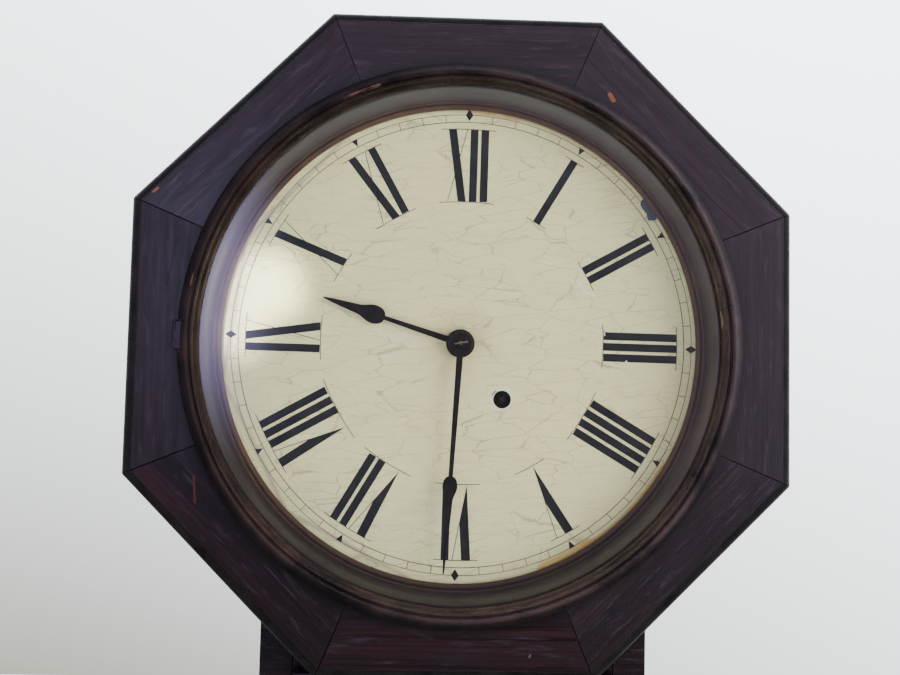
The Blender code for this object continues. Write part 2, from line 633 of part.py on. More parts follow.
# ---- motion work and hands ------------------------------------------------------------------
def make_motion_work():
    layers = [(pinion(CANNON_LEAVES, CANNON_MODULE), [], 68.6, 71.0), disc(2.3, 71.0, 90.4, 14)]
    layered("cannon_pinion", layers, "brass", CENTRE, bore=circle(1.5, 12))
    phase = meshing_phase(CANNON_LEAVES, 0.0, MINUTE_TEETH, CENTRE, MINUTE_STUD)
    layers = [disc(PIVOT_R, 65.0, 68.2), (wheel(MINUTE_TEETH, CANNON_MODULE, phase), [], 69.0, 70.2),
              (pinion(MINUTE_LEAVES, HOUR_MODULE), [], 70.2, 74.0), disc(PIVOT_R, 74.0, 76.0)]
    layers.insert(1, disc(1.8, 68.2, 69.0))
    layered("minute_wheel", layers, "brass", MINUTE_STUD)
    phase = meshing_phase(MINUTE_LEAVES, 0.0, HOUR_TEETH, MINUTE_STUD, CENTRE)
    layers = [(wheel(HOUR_TEETH, HOUR_MODULE, phase), [], 71.8, 73.2), disc(4.4, 73.2, 83.4, 16)]
    layered("hour_wheel", layers, "brass", CENTRE, bore=circle(2.8, 14))


def hand_outline(hub, shaft, neck, widest, tip, half_width, steps=14):
    """A spade hand pointing to twelve: round hub, tapering shaft, leaf and needle tip."""
    side = []
    start = math.asin(shaft / hub)
    for step in range(steps + 1):
        angle = math.pi - (math.pi - start) * step / steps
        side.append((hub * math.sin(angle), hub * math.cos(angle)))
    side.append((shaft * 0.62, neck))
    for step in range(1, 6):
        angle = math.pi / 2 * step / 5
        side.append((shaft * 0.62 + (half_width - shaft * 0.62) * math.sin(angle),
                     neck + (widest - neck) * (1 - math.cos(angle))))
    for share, width in ((0.22, 0.78), (0.42, 0.44), (0.62, 0.24)):
        side.append((half_width * width, widest + (tip - widest) * share))
    side.append((0.35, tip))
    return [(-x, z) for x, z in side[1:]][::-1] + side


def make_hands():
    hour = hand_outline(9.0, 2.2, 50.0, 58.5, 91.0, 5.9)
    layered("hour_hand", [(hour, [], 83.8, 85.0)], "blued_steel", CENTRE, bore=circle(2.8, 14),
            turn=HOUR_ANGLE)
    minute = hand_outline(6.4, 2.0, 80.0, 89.0, 145.0, 4.3)
    layered("minute_hand", [(minute, [], 90.8, 91.8)], "blued_steel", CENTRE,
            bore=circle(1.55, 10), turn=MINUTE_ANGLE)
    nut = [(1.5, 92.2), (4.6, 92.2), (4.2, 93.2), (2.4, 93.8), (1.5, 93.8)]
    turned("hand_collet", nut, "blued_steel", steps=16, bore=True)


# ---- escapement and pendulum ----------------------------------------------------------------
def make_pallets():
    right = [(2.6, 3.0), (9.4, -0.4), (12.5, -5.4), (12.2, -7.2), (10.0, -6.2), (7.6, -3.4)]
    anchor = right + [(-x, z) for x, z in right[::-1]]
    layers = [disc(1.2, 24.6, 37.2, 10), (anchor, [], 37.2, 39.0), disc(1.2, 39.0, 65.4, 10),
              disc(PIVOT_R, 65.4, 68.2, 10)]
    layered("pallets", layers, "steel", VERGE)


def make_crutch():
    """An arm behind the back plate whose fork straddles the pendulum rod."""
    arm = [(3.0 * math.sin(a), 3.0 * math.cos(a)) for a in
           [math.pi * (step / 4 - 0.75) for step in range(7)]]
    arm += [(1.6, -30.0), (1.6, -37.0), (-1.6, -37.0), (-1.6, -30.0)]
    crutch = layered("crutch", [(arm, [], 26.0, 27.6)], "steel", VERGE, bore=circle(1.5, 10))
    low, high = VERGE[1] - 37.0, VERGE[1] - 31.0
    combine(crutch, block("crutch_fork", (-4.0, 19.5, low), (4.0, 27.0, high)), "UNION")
    combine(crutch, block("crutch_slot", (-1.75, 15.0, low - 2), (1.75, 25.2, high + 2)),
            "DIFFERENCE")


def make_pendulum():
    cock = block("pendulum_cock", (-6.0, 18.0, 60.0), (6.0, BACK_PLATE[0] - GAP, 65.5))
    combine(cock, block("pendulum_cock_slot", (-0.6, 18.8, 55.0), (0.6, 25.2, 63.6)), "DIFFERENCE")
    block("suspension_spring", (-0.15, 19.5, 44.0), (0.15, 24.5, 63.2), "steel")
    rod = [(0.0, 43.7), (2.6, 43.7), (2.6, 38.0), (1.3, 36.5), (1.3, -290.0), (0.0, -290.0)]
    turned("pendulum_rod", rod, "steel", steps=10, centre=(0.0, PENDULUM_DEPTH), axis="z")
    bob = []
    for step in range(5):
        share = step / 4
        bob.append((BOB_R * math.sin(math.pi / 2 * share), 5.5 * math.cos(math.pi / 2 * share)))
    depths = [(radius, PENDULUM_DEPTH - half) for radius, half in bob]
    depths += [(radius, PENDULUM_DEPTH + half) for radius, half in bob[-2::-1]]
    disc_bob = turned("pendulum_bob", depths, "brass", steps=32, centre=(0.0, BOB_Z))
    bore = turned("pendulum_bob_bore", [(0.0, BOB_Z + 40.0), (1.65, BOB_Z + 40.0),
                                        (1.65, BOB_Z - 40.0), (0.0, BOB_Z - 40.0)],
                  "brass", steps=10, centre=(0.0, PENDULUM_DEPTH), axis="z")
    combine(disc_bob, bore, "DIFFERENCE")
    nut = [(1.65, -277.6), (4.2, -277.6), (4.8, -279.0), (4.8, -281.4), (4.2, -282.6),
           (1.65, -282.6)]
    turned("rating_nut", nut, "brass", steps=14, centre=(0.0, PENDULUM_DEPTH), axis="z", bore=True)


def main():
    for old in list(bpy.data.objects):
        bpy.data.objects.remove(old)
    make_case()
    make_octagon()
    make_bezel()
    make_bezel_hinge()
    make_dial()
    make_drop_door()
    make_movement_frame()
    make_great_wheel()
    make_winding_arbor()
    make_click()
    make_mainspring()
    make_intermediate_wheel()
    make_centre_wheel()
    make_third_wheel()
    make_escape_wheel()
    make_motion_work()
    make_hands()
    make_pallets()
    make_crutch()
    make_pendulum()


main()
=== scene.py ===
"""Looks of the schoolhouse wall clock: fine meshes, materials, light and camera.

Helpers work in millimetres with "depth" measured from the wall towards the viewer (-Y).
"""
import math

import bmesh
import bpy
from mathutils import Matrix, Vector
from mathutils.geometry import tessellate_polygon

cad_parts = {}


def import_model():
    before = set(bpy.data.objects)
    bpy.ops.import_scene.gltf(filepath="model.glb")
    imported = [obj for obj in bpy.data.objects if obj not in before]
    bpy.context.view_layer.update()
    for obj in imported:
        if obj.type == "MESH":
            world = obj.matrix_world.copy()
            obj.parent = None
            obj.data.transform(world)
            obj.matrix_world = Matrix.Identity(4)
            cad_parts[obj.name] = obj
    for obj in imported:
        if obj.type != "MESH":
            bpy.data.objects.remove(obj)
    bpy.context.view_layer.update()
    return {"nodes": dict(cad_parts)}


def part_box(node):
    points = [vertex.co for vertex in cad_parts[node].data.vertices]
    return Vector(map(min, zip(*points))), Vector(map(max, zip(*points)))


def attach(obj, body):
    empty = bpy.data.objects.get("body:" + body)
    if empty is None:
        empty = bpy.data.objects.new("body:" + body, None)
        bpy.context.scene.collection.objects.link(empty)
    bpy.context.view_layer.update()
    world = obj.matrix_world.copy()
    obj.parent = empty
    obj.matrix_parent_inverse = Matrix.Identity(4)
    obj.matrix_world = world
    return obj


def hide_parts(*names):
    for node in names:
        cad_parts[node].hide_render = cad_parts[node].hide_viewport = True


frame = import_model()

MM = 0.001
FINE = 224                      # sides of the large round pieces


# ---- places read from the frame ----
def span(node, axis):
    """Lowest and highest value of a node along x, depth or z, in millimetres."""
    low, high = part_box(node)
    if axis == "depth":
        return [-high[1] / MM, -low[1] / MM]
    index = {"x": 0, "z": 2}[axis]
    return [low[index] / MM, high[index] / MM]


OCTAGON_EDGE = span("octagon_top", "z")[1]
OCTAGON_BACK, OCTAGON_FRONT = span("octagon_top", "depth")
DIAL_R = span("dial", "x")[1]
DIAL_BACK, DIAL_FRONT = span("dial", "depth")
BEZEL_R = span("bezel_ring", "z")[1]
BEZEL_BACK = span("bezel_ring", "depth")[0]
GLASS_R = span("bezel_glass", "z")[1]
GLASS_BACK, GLASS_FRONT = span("bezel_glass", "depth")
SIGHT_R = span("sight_ring", "z")[1]
SIGHT_BACK, SIGHT_FRONT = span("sight_ring", "depth")
WINDING = (27.3, -34.8)
MINUTE_ANGLE, HOUR_ANGLE = 183.1, 287.4
DIAL_TURN = 0.6                 # the print sits a little clockwise and off centre
PRINT_MIDDLE = (1.3, 1.1)
PRINT_SCALE = 0.995
BOTH_FACES_IOR = 1.75           # one face with it mirrors as much as both faces of a pane
HOLE_R = 163.0                  # round hole in the octagon, behind the turned ring
MITRE_GAP = 0.03
EDGE_WIDTH = 7.2                # moulded outer edge of the octagon's boards


# ---- materials ----
class Nodes:
    """Short ways to add nodes to a node tree."""

    def __init__(self, tree):
        self.tree = tree

    def add(self, kind, **values):
        node = self.tree.nodes.new(kind)
        for key, value in values.items():
            setattr(node, key, value)
        return node

    def put(self, socket, value):
        if isinstance(value, bpy.types.NodeSocket):
            self.tree.links.new(value, socket)
        elif socket.type == "RGBA" and len(value) == 3:
            socket.default_value = (*value, 1.0)
        else:
            socket.default_value = value

    def ramp(self, value, low, high, start=0.0, end=1.0, kind="LINEAR"):
        """A number carried from the range low..high to start..end, and held at its ends."""
        node = self.add("ShaderNodeMapRange", interpolation_type=kind)
        for socket, number in zip(node.inputs, (value, low, high, start, end)):
            self.put(socket, number)
        return node.outputs["Result"]

    def math(self, operation, first, second=0.0):
        node = self.add("ShaderNodeMath", operation=operation)
        self.put(node.inputs[0], first)
        self.put(node.inputs[1], second)
        return node.outputs["Value"]

    def vector(self, operation, first, second, output="Vector"):
        node = self.add("ShaderNodeVectorMath", operation=operation)
        self.put(node.inputs[0], first)
        self.put(node.inputs[1], second)
        return node.outputs[output]

    def mix(self, share, first, second):
        node = self.add("ShaderNodeMix", data_type="RGBA")
        colours = [socket for socket in node.inputs if socket.type == "RGBA"]
        self.put(node.inputs["Factor"], share)
        self.put(colours[0], first)
        self.put(colours[1], second)
        return [socket for socket in node.outputs if socket.type == "RGBA"][0]


class Surface(Nodes):
    """A Principled material, and the patterns it is coloured with."""

    def __init__(self, name, roughness=0.5, metallic=0.0, specular=0.5, coat=0.0):
        self.material = bpy.data.materials.new(name)
        self.material.use_nodes = True
        super().__init__(self.material.node_tree)
        self.shader = self.tree.nodes["Principled BSDF"]
        for key, value in (("Roughness", roughness), ("Metallic", metallic),
                           ("Specular IOR Level", specular), ("Coat Weight", coat),
                           ("Coat Roughness", 0.25)):
            self.shader.inputs[key].default_value = value
        self.place = self.add("ShaderNodeTexCoord").outputs["Object"]

    def stretch(self, x, y, z, turn=0.0):
        """The place on the piece, in metres, multiplied along each axis."""
        node = self.add("ShaderNodeMapping")
        self.put(node.inputs["Vector"], self.place)
        node.inputs["Scale"].default_value = (x, y, z)
        node.inputs["Rotation"].default_value = (0.0, turn, 0.0)
        return node.outputs["Vector"]

    def noise(self, vector, scale=1.0, detail=4.0, roughness=0.55, distortion=0.0):
        node = self.add("ShaderNodeTexNoise")
        self.put(node.inputs["Vector"], vector)
        for key, value in (("Scale", scale), ("Detail", detail), ("Roughness", roughness),
                           ("Distortion", distortion)):
            node.inputs[key].default_value = value
        return node.outputs["Fac"]

    def streaks(self, x, y, z, *shape):
        """Noise stretched along the axes; the shape is detail, roughness and distortion."""
        return self.noise(self.stretch(x, y, z), 1.0, *shape)

    def clouds(self, scale, *shape):
        return self.noise(self.place, scale, *shape)

    def cracks(self, vector):
        """Distance to the nearest cell edge."""
        node = self.add("ShaderNodeTexVoronoi", feature="DISTANCE_TO_EDGE")
        self.put(node.inputs["Vector"], vector)
        node.inputs["Scale"].default_value = 1.0
        return node.outputs["Distance"]

    def along(self, direction):
        """How far, in metres, the place is along a direction."""
        return self.vector("DOT_PRODUCT", self.place, direction, "Value")

    def radius(self, centre=(0.0, 0.0)):
        """Distance from an axis that runs along depth; the centre is (x, z) in millimetres."""
        flat = self.vector("MULTIPLY", self.place, (1.0, 0.0, 1.0))
        return self.vector("DISTANCE", flat, world(centre[0], 0.0, centre[1]), "Value")

    def spun(self, rings, bands, wander, detail, roughness=0.55, centre=(0.0, 0.0)):
        """Fine lines of turning, so many a metre of radius and of depth, wandering a little."""
        lines = self.add("ShaderNodeCombineXYZ")
        self.put(lines.inputs["X"], self.math("MULTIPLY", self.radius(centre), rings))
        self.put(lines.inputs["Y"], self.math("MULTIPLY", self.along((0.0, 1.0, 0.0)), bands))
        if wander:
            self.put(lines.inputs["Z"], self.noise(self.place, wander, 2.0))
        return self.noise(lines.outputs["Vector"], 1.0, detail, roughness)

    def warp(self, vector, by, amount):
        """A place pushed about by a noise number."""
        offset = self.add("ShaderNodeCombineXYZ")
        self.put(offset.inputs["X"], self.math("MULTIPLY", by, amount))
        self.put(offset.inputs["Z"], self.math("MULTIPLY", by, amount))
        return self.vector("ADD", vector, offset.outputs["Vector"])

    def near(self, points, radius, soft):
        """1 within a radius (millimetres) of a run of (x, z) points, fading over `soft`."""
        flat = self.vector("MULTIPLY", self.place, (1.0, 0.0, 1.0))
        nearest = None
        for (ax, az), (bx, bz) in zip(points, points[1:] or points):
            start = world(ax, 0.0, az)
            run = world(bx, 0.0, bz) - start
            rise = self.vector("SUBTRACT", flat, start)
            share = self.vector("DOT_PRODUCT", rise, run / max(run.length_squared, 1e-12), "Value")
            held = self.add("ShaderNodeClamp")
            self.put(held.inputs["Value"], share)
            foot = self.add("ShaderNodeVectorMath", operation="SCALE")
            foot.inputs[0].default_value = run
            self.put(foot.inputs["Scale"], held.outputs["Result"])
            distance = self.vector("DISTANCE", rise, foot.outputs["Vector"], "Value")
            nearest = distance if nearest is None else self.math("MINIMUM", nearest, distance)
        return self.ramp(nearest, radius * MM, (radius + soft) * MM, 1.0, 0.0)

    def lay(self, base, tint, *shares):
        """A tint laid over a colour, by the product of its shares."""
        share = shares[0]
        for other in shares[1:]:
            share = self.math("MULTIPLY", share, other)
        return self.mix(share, base, tint)

    def finish(self, base, rough=None, height=None, distance=0.0, strength=0.5):
        """The material with its colour and, where given, roughness and a bump in millimetres."""
        self.put(self.shader.inputs["Base Color"], base)
        if rough is not None:
            self.put(self.shader.inputs["Roughness"], rough)
        if height is not None:
            node = self.add("ShaderNodeBump")
            node.inputs["Strength"].default_value = strength
            node.inputs["Distance"].default_value = distance * MM
            self.put(node.inputs["Height"], height)
            self.put(self.shader.inputs["Normal"], node.outputs["Normal"])
        return self.material


def world(x, depth, z):
    """A place in metres from millimetres and a depth."""
    return Vector((x, -depth, z)) * MM


def stained_wood(name, scars=(), turn=0.0, red=0.5, seed=0.0, shine=0.5):
    """Purple-black stained wood under worn shellac, its grain along the piece's own X.

    A scar is (points, radius, colour).
    """
    wood = Surface(name, roughness=0.38, specular=shine, coat=0.3 * shine)

    def grain(length, across, offset, detail, roughness=0.55, distortion=0.0):
        place = wood.vector("ADD", wood.stretch(length, across, across, turn), offset)
        return wood.noise(place, 1.0, detail, roughness, distortion)

    streaks = grain(9.0, 420.0, (seed, seed, seed), 6.0, 0.62, 0.6)
    broad = grain(3.0, 50.0, (seed, 0.0, seed), 3.0)
    scuff = grain(48.0, 330.0, (0.0, seed, 0.0), 5.0, 0.65)
    cloud = wood.clouds(18.0, 3.0)
    speck = wood.streaks(900.0, 900.0, 900.0, 2.0)
    ring_shade = wood.ramp(wood.radius(), 0.1695, 0.1755, 0.75, 0.0)
    base = wood.mix(wood.ramp(broad, 0.35, 0.68), (0.007, 0.0042, 0.006),
                    (0.013 + 0.006 * red, 0.0058, 0.0078))
    base = wood.lay(base, (0.0035, 0.0024, 0.0032), wood.ramp(streaks, 0.38, 0.66))
    base = wood.lay(base, (0.013, 0.01, 0.015), wood.ramp(cloud, 0.5, 0.8, 0.0, 0.35))
    base = wood.lay(base, (0.027, 0.021, 0.03), wood.ramp(scuff, 0.56, 0.72, 0.0, 0.65))
    base = wood.lay(base, (0.0022, 0.0024, 0.0022), ring_shade)
    base = wood.lay(base, (0.07, 0.055, 0.06), wood.ramp(speck, 0.755, 0.8, 0.0, 0.4))
    for points, radius, tint in scars:
        base = wood.lay(base, tint, wood.near(points, radius, 0.5))
    still = (0.0, 0.0, 0.0)
    rough = wood.ramp(grain(30.0, 220.0, still, 5.0), 0.3, 0.75, 0.28, 0.48)
    pores = wood.ramp(grain(35.0, 1500.0, still, 3.0), 0.35, 0.6)
    return wood.finish(base, rough, pores, 0.09, 0.55)


def black_edge():
    """The near-black rubbed edge of mouldings."""
    wood = Surface("black_edge", roughness=0.5, specular=0.22)
    cloud = wood.streaks(60.0, 60.0, 60.0, 5.0)
    wear = wood.streaks(240.0, 240.0, 240.0, 4.0)
    base = wood.mix(wood.ramp(cloud, 0.35, 0.7), (0.003, 0.003, 0.0033), (0.01, 0.0085, 0.008))
    base = wood.lay(base, (0.03, 0.022, 0.017), wood.ramp(wear, 0.68, 0.8, 0.0, 0.4))
    return wood.finish(base, wood.ramp(wear, 0.3, 0.75, 0.42, 0.6), wear, 0.12)


def bezel_wood():
    """The turned ring: black-brown, browner and glossier on its inside, and painted browner and
    glossier towards its right and lower side, a painted highlight and sheen where light falls.
    """
    wood = Surface("bezel_wood", roughness=0.36, specular=0.32, coat=0.1)
    turned_lines = wood.spun(2600.0, 0.0, None, 3.0)
    cloud = wood.streaks(38.0, 38.0, 38.0, 5.0, 0.6)
    wear = wood.streaks(150.0, 150.0, 150.0, 6.0, 0.62)
    # painted light: towards the right and lower side the ring is painted browner and glossier,
    # standing in for the light and sheen that fall there
    painted_light_side = wood.along((0.9, 0.0, -0.4))
    base = wood.mix(wood.ramp(cloud, 0.35, 0.7), (0.0035, 0.0028, 0.0032), (0.01, 0.0068, 0.0068))
    base = wood.lay(base, (0.04, 0.023, 0.02), wood.ramp(wood.radius(), 0.163, 0.1655, 0.85, 0.0),
                    wood.ramp(painted_light_side, -0.12, 0.1, 0.25, 1.0), wood.ramp(cloud, 0.3, 0.6))
    base = wood.lay(base, (0.035, 0.018, 0.014), wood.ramp(wear, 0.66, 0.76, 0.0, 0.6))
    for run, thick in ((ring_run(161.4, 333.0, 341.0), 0.25), (ring_run(163.0, 280.5, 283.0), 0.2)):
        base = wood.lay(base, (0.075, 0.034, 0.03), wood.near(run, thick, 0.4),
                        wood.ramp(wear, 0.4, 0.58))
    # painted sheen: the specular level rises towards the lit right and lower side
    painted_side_sheen = wood.ramp(painted_light_side, -0.15, 0.15, 0.04, 0.46)
    wood.put(wood.shader.inputs["Specular IOR Level"], painted_side_sheen)
    height = wood.math("ADD", wood.math("MULTIPLY", turned_lines, 0.5), wear)
    return wood.finish(base, wood.ramp(wear, 0.3, 0.75, 0.24, 0.5), height, 0.1)


def ring_run(radius, start, end, count=4):
    """(x, z) points along an arc, in degrees clockwise from twelve."""
    angles = [math.radians(start + (end - start) * i / count) for i in range(count + 1)]
    return [(radius * math.sin(a), radius * math.cos(a)) for a in angles]


def plain_wood():
    wood = Surface("plain_wood", roughness=0.75, specular=0.25)
    grain = wood.streaks(160.0, 160.0, 6.0, 6.0, 0.6, 1.2)
    fine = wood.streaks(900.0, 900.0, 24.0, 3.0)
    dirt = wood.clouds(14.0, 4.0)
    base = wood.mix(wood.ramp(grain, 0.3, 0.7), (0.24, 0.135, 0.07), (0.42, 0.27, 0.155))
    base = wood.lay(base, (0.13, 0.07, 0.035), wood.ramp(fine, 0.55, 0.75, 0.0, 0.5))
    base = wood.lay(base, (0.12, 0.085, 0.06), wood.ramp(dirt, 0.5, 0.75, 0.0, 0.5))
    return wood.finish(base, height=fine, distance=0.15)


def dial_paint():
    """Aged cream paint on zinc: craze lines, smudges, scratches, rust stains and a lost flake."""
    paint = Surface("dial_paint", roughness=0.5, specular=0.35)
    broad = paint.clouds(11.0, 3.0, 0.5)
    mottle = paint.streaks(45.0, 45.0, 75.0, 5.0, 0.6)
    smudge = paint.noise(paint.stretch(16.0, 16.0, 60.0, 0.5), 1.0, 6.0, 0.65, 0.4)
    lower_left = paint.near([(-60.0, -60.0), (-20.0, -110.0)], 25.0, 60.0)
    base = paint.mix(paint.ramp(broad, 0.35, 0.65), (0.64, 0.59, 0.3), (0.615, 0.605, 0.315))
    base = paint.lay(base, (0.575, 0.53, 0.265), paint.ramp(mottle, 0.45, 0.72, 0.0, 0.35))
    base = paint.lay(base, (0.4, 0.38, 0.31), paint.ramp(smudge, 0.5, 0.68, 0.0, 0.4), lower_left)
    drift = paint.clouds(22.0, 4.0)
    fray = paint.clouds(160.0, 4.0, 0.6)
    cells = paint.warp(paint.warp(paint.stretch(38.0, 1.0, 125.0), drift, 1.7), fray, 0.35)
    wide = paint.ramp(paint.cracks(cells), 0.006, 0.028, 1.0, 0.0)
    patchy = paint.ramp(paint.clouds(26.0, 2.0), 0.36, 0.6, 0.12, 0.75)
    base = paint.lay(base, (0.31, 0.26, 0.14), wide, patchy)
    small_cells = paint.warp(paint.stretch(95.0, 1.0, 230.0), drift, 2.5)
    hair = paint.ramp(paint.cracks(small_cells), 0.01, 0.05, 1.0, 0.0)
    base = paint.lay(base, (0.4, 0.35, 0.2), hair, paint.ramp(mottle, 0.46, 0.66, 0.0, 0.28))
    threads = paint.noise(paint.warp(paint.stretch(34.0, 1.0, 620.0), drift, 6.0), 1.0, 3.0, 0.5)
    base = paint.lay(base, (0.36, 0.31, 0.17), paint.ramp(threads, 0.615, 0.665, 0.0, 0.3))
    for scratch in (((50.5, 54.0), (57.5, 52.5)), ((73.5, 42.0), (79.0, 35.5), (86.0, 32.0))):
        base = paint.lay(base, (0.74, 0.73, 0.62), paint.near(scratch, 0.12, 0.35))
    return paint.finish(rim_stains(paint, base), paint.ramp(mottle, 0.3, 0.7, 0.38, 0.6),
                        paint.math("SUBTRACT", mottle, wide), 0.05)


def rim_stains(paint, base):
    """Rust round the holes and at the rim, and the bare metal patch near two o'clock."""
    ragged = paint.clouds(90.0, 5.0, 0.6)
    base = paint.lay(base, (0.47, 0.36, 0.17), paint.near([(0.0, 0.0)], 6.0, 22.0),
                     paint.ramp(ragged, 0.3, 0.7, 0.15, 0.75))
    for centre, reach, tint, share in (
            ((8.0, 14.0), 12.0, (0.42, 0.33, 0.16), 0.5),
            ((-8.0, -14.0), 12.0, (0.44, 0.34, 0.17), 0.55),
            ((-40.0, 2.0), 18.0, (0.6, 0.58, 0.48), 0.4)):
        base = paint.lay(base, tint, paint.near([centre], 2.0, reach),
                         paint.ramp(ragged, 0.35, 0.7, 0.0, share))
    for radius, start, end, width, tint in (
            (149.6, 146.0, 158.5, 2.4, (0.5, 0.34, 0.075)),
            (150.4, 120.0, 148.0, 0.9, (0.5, 0.32, 0.1)),
            (150.6, 1.5, 13.0, 1.6, (0.46, 0.29, 0.1)),
            (151.0, 13.0, 40.0, 0.7, (0.42, 0.33, 0.17)),
            (151.3, 190.0, 330.0, 0.4, (0.4, 0.33, 0.22))):
        base = paint.lay(base, tint, paint.near(ring_run(radius, start, end), width, 1.8),
                         paint.ramp(ragged, 0.25, 0.6, 0.5, 1.0))
    flake = paint.math("ADD", paint.near([(116.5, 93.0), (122.5, 85.0)], 0.8, 6.0),
                       paint.math("MULTIPLY", ragged, 1.6))
    base = paint.lay(base, (0.04, 0.052, 0.085), paint.ramp(flake, 1.46, 1.53))
    base = paint.lay(base, (0.07, 0.035, 0.03), paint.near([(21.2, -31.8), (23.0, -29.8)], 0.5, 0.5))
    return paint.lay(base, (0.62, 0.62, 0.55), paint.near([WINDING], 5.7, 2.6),
                     paint.ramp(ragged, 0.35, 0.6, 0.2, 0.8))


def ink():
    """Blue-black printing ink, worn thin in places and chipped white."""
    black = Surface("dial_ink", roughness=0.5, specular=0.35)
    wear = black.clouds(120.0, 5.0, 0.6)
    base = black.mix(black.ramp(wear, 0.4, 0.75), (0.0055, 0.0056, 0.0085), (0.015, 0.0148, 0.0175))
    for points, radius in (([(91.8, 9.2), (92.0, 7.4)], 0.2), ([(106.0, -9.0)], 0.55),
                           ([(116.5, 50.5)], 0.45), ([(-12.0, -126.5)], 0.5)):
        base = black.lay(base, (0.62, 0.6, 0.52), black.near(points, radius, 0.3))
    return black.finish(base)


def hairline_ink():
    """The thin grey-brown printed lines."""
    thin = Surface("dial_line_ink", roughness=0.55, specular=0.3)
    wear = thin.clouds(60.0, 5.0, 0.7)
    return thin.finish(thin.mix(thin.ramp(wear, 0.35, 0.65), (0.02, 0.02, 0.019),
                                (0.115, 0.11, 0.088)))


def clear_glass(name):
    """Window glass: see-through, with both faces' reflection put on the side a ray enters by."""
    glass = Surface(name)
    see = glass.add("ShaderNodeBsdfTransparent")
    see.inputs["Color"].default_value = (0.965, 0.975, 0.97, 1.0)
    shine = glass.add("ShaderNodeBsdfGlossy")
    shine.inputs["Roughness"].default_value = 0.02
    fresnel = glass.add("ShaderNodeFresnel")
    fresnel.inputs["IOR"].default_value = BOTH_FACES_IOR
    entering = glass.math("SUBTRACT", 1.0, glass.add("ShaderNodeNewGeometry").outputs["Backfacing"])
    blend = glass.add("ShaderNodeMixShader")
    glass.put(blend.inputs[0], glass.math("MULTIPLY", fresnel.outputs["Fac"], entering))
    glass.put(blend.inputs[1], see.outputs["BSDF"])
    glass.put(blend.inputs[2], shine.outputs["BSDF"])
    output = glass.tree.nodes["Material Output"]
    glass.put(output.inputs["Surface"], blend.outputs["Shader"])
    glass.tree.nodes.remove(glass.shader)
    return glass.material


def spun_brass(name, light, dark, rust, centre=(0.0, 0.0)):
    """Tarnished metal with fine lines round its turning axis."""
    metal = Surface(name, roughness=0.42, metallic=0.85)
    lines = metal.spun(1800.0, 1800.0, 20.0, 3.0, centre=centre)
    cloud = metal.clouds(40.0, 5.0, 0.6)
    spots = metal.clouds(260.0, 4.0, 0.6)
    base = metal.mix(metal.ramp(cloud, 0.35, 0.7), dark, light)
    base = metal.lay(base, rust, metal.ramp(lines, 0.35, 0.7, 0.0, 0.35))
    base = metal.lay(base, dark, metal.ramp(spots, 0.66, 0.74, 0.0, 0.7))
    return metal.finish(base, metal.ramp(cloud, 0.3, 0.75, 0.3, 0.55), lines, 0.05)


def sight_metal():
    """The sight ring: grey-brown spun wall, reddish lacquer on the rolled inner bead; painted shade
    darkens the wall towards the lower left and the bead at the bottom, and a painted reflection
    lightens the wall at the top.
    """
    metal = Surface("sight_brass", roughness=0.36, metallic=0.4, specular=0.6)
    lines = metal.spun(1500.0, -1100.0, 24.0, 4.0, 0.6)
    cloud = metal.clouds(26.0, 5.0, 0.6)
    painted_light_height = metal.along((0.0, 0.0, 1.0))
    lit = metal.along((0.75, 0.0, 0.66))
    wall = metal.mix(metal.ramp(cloud, 0.35, 0.7), (0.036, 0.026, 0.024), (0.074, 0.056, 0.053))
    wall = metal.lay(wall, (0.026, 0.018, 0.015), metal.ramp(lines, 0.4, 0.7, 0.0, 0.6))
    # painted shade: the wall darkens towards the lower left
    wall = metal.lay(wall, (0.008, 0.006, 0.006), metal.ramp(lit, -0.15, 0.02, 0.62, 0.0))
    # painted reflection: the wall turns lighter grey towards the top
    wall = metal.lay(wall, (0.088, 0.088, 0.092), metal.ramp(painted_light_height, 0.07, 0.14, 0.0, 0.6))
    bead = metal.mix(metal.ramp(cloud, 0.4, 0.65), (0.06, 0.026, 0.016), (0.105, 0.056, 0.022))
    bead = metal.lay(bead, (0.026, 0.012, 0.01), metal.ramp(lines, 0.45, 0.7, 0.0, 0.5))
    # painted shade: the bead darkens towards the bottom
    bead = metal.lay(bead, (0.016, 0.009, 0.007), metal.ramp(painted_light_height, -0.15, -0.06, 0.55, 0.0))
    on_bead = metal.ramp(metal.along((0.0, -1.0, 0.0)), 0.0862, 0.088, 1.0, 0.0)
    return metal.finish(metal.lay(wall, bead, on_bead), metal.ramp(cloud, 0.3, 0.75, 0.28, 0.5),
                        lines, 0.1)


def blued_steel():
    """Hands: blued steel gone brown-black."""
    metal = Surface("blued_steel", roughness=0.42, metallic=0.6)
    cloud = metal.clouds(150.0, 5.0, 0.6)
    base = metal.mix(metal.ramp(cloud, 0.35, 0.7), (0.006, 0.0048, 0.0058),
                     (0.019, 0.0135, 0.0125))
    return metal.finish(base, metal.ramp(cloud, 0.3, 0.75, 0.28, 0.52), cloud, 0.05, 0.4)


def plain_steel():
    metal = Surface("plain_steel", roughness=0.35, metallic=1.0)
    brushed = metal.streaks(120.0, 120.0, 1400.0, 4.0)
    cloud = metal.clouds(80.0, 4.0)
    base = metal.mix(metal.ramp(brushed, 0.3, 0.7), (0.3, 0.29, 0.28), (0.45, 0.45, 0.45))
    base = metal.lay(base, (0.16, 0.1, 0.06), metal.ramp(cloud, 0.6, 0.75, 0.0, 0.6))
    return metal.finish(base, metal.ramp(brushed, 0.3, 0.7, 0.28, 0.46), brushed, 0.03)


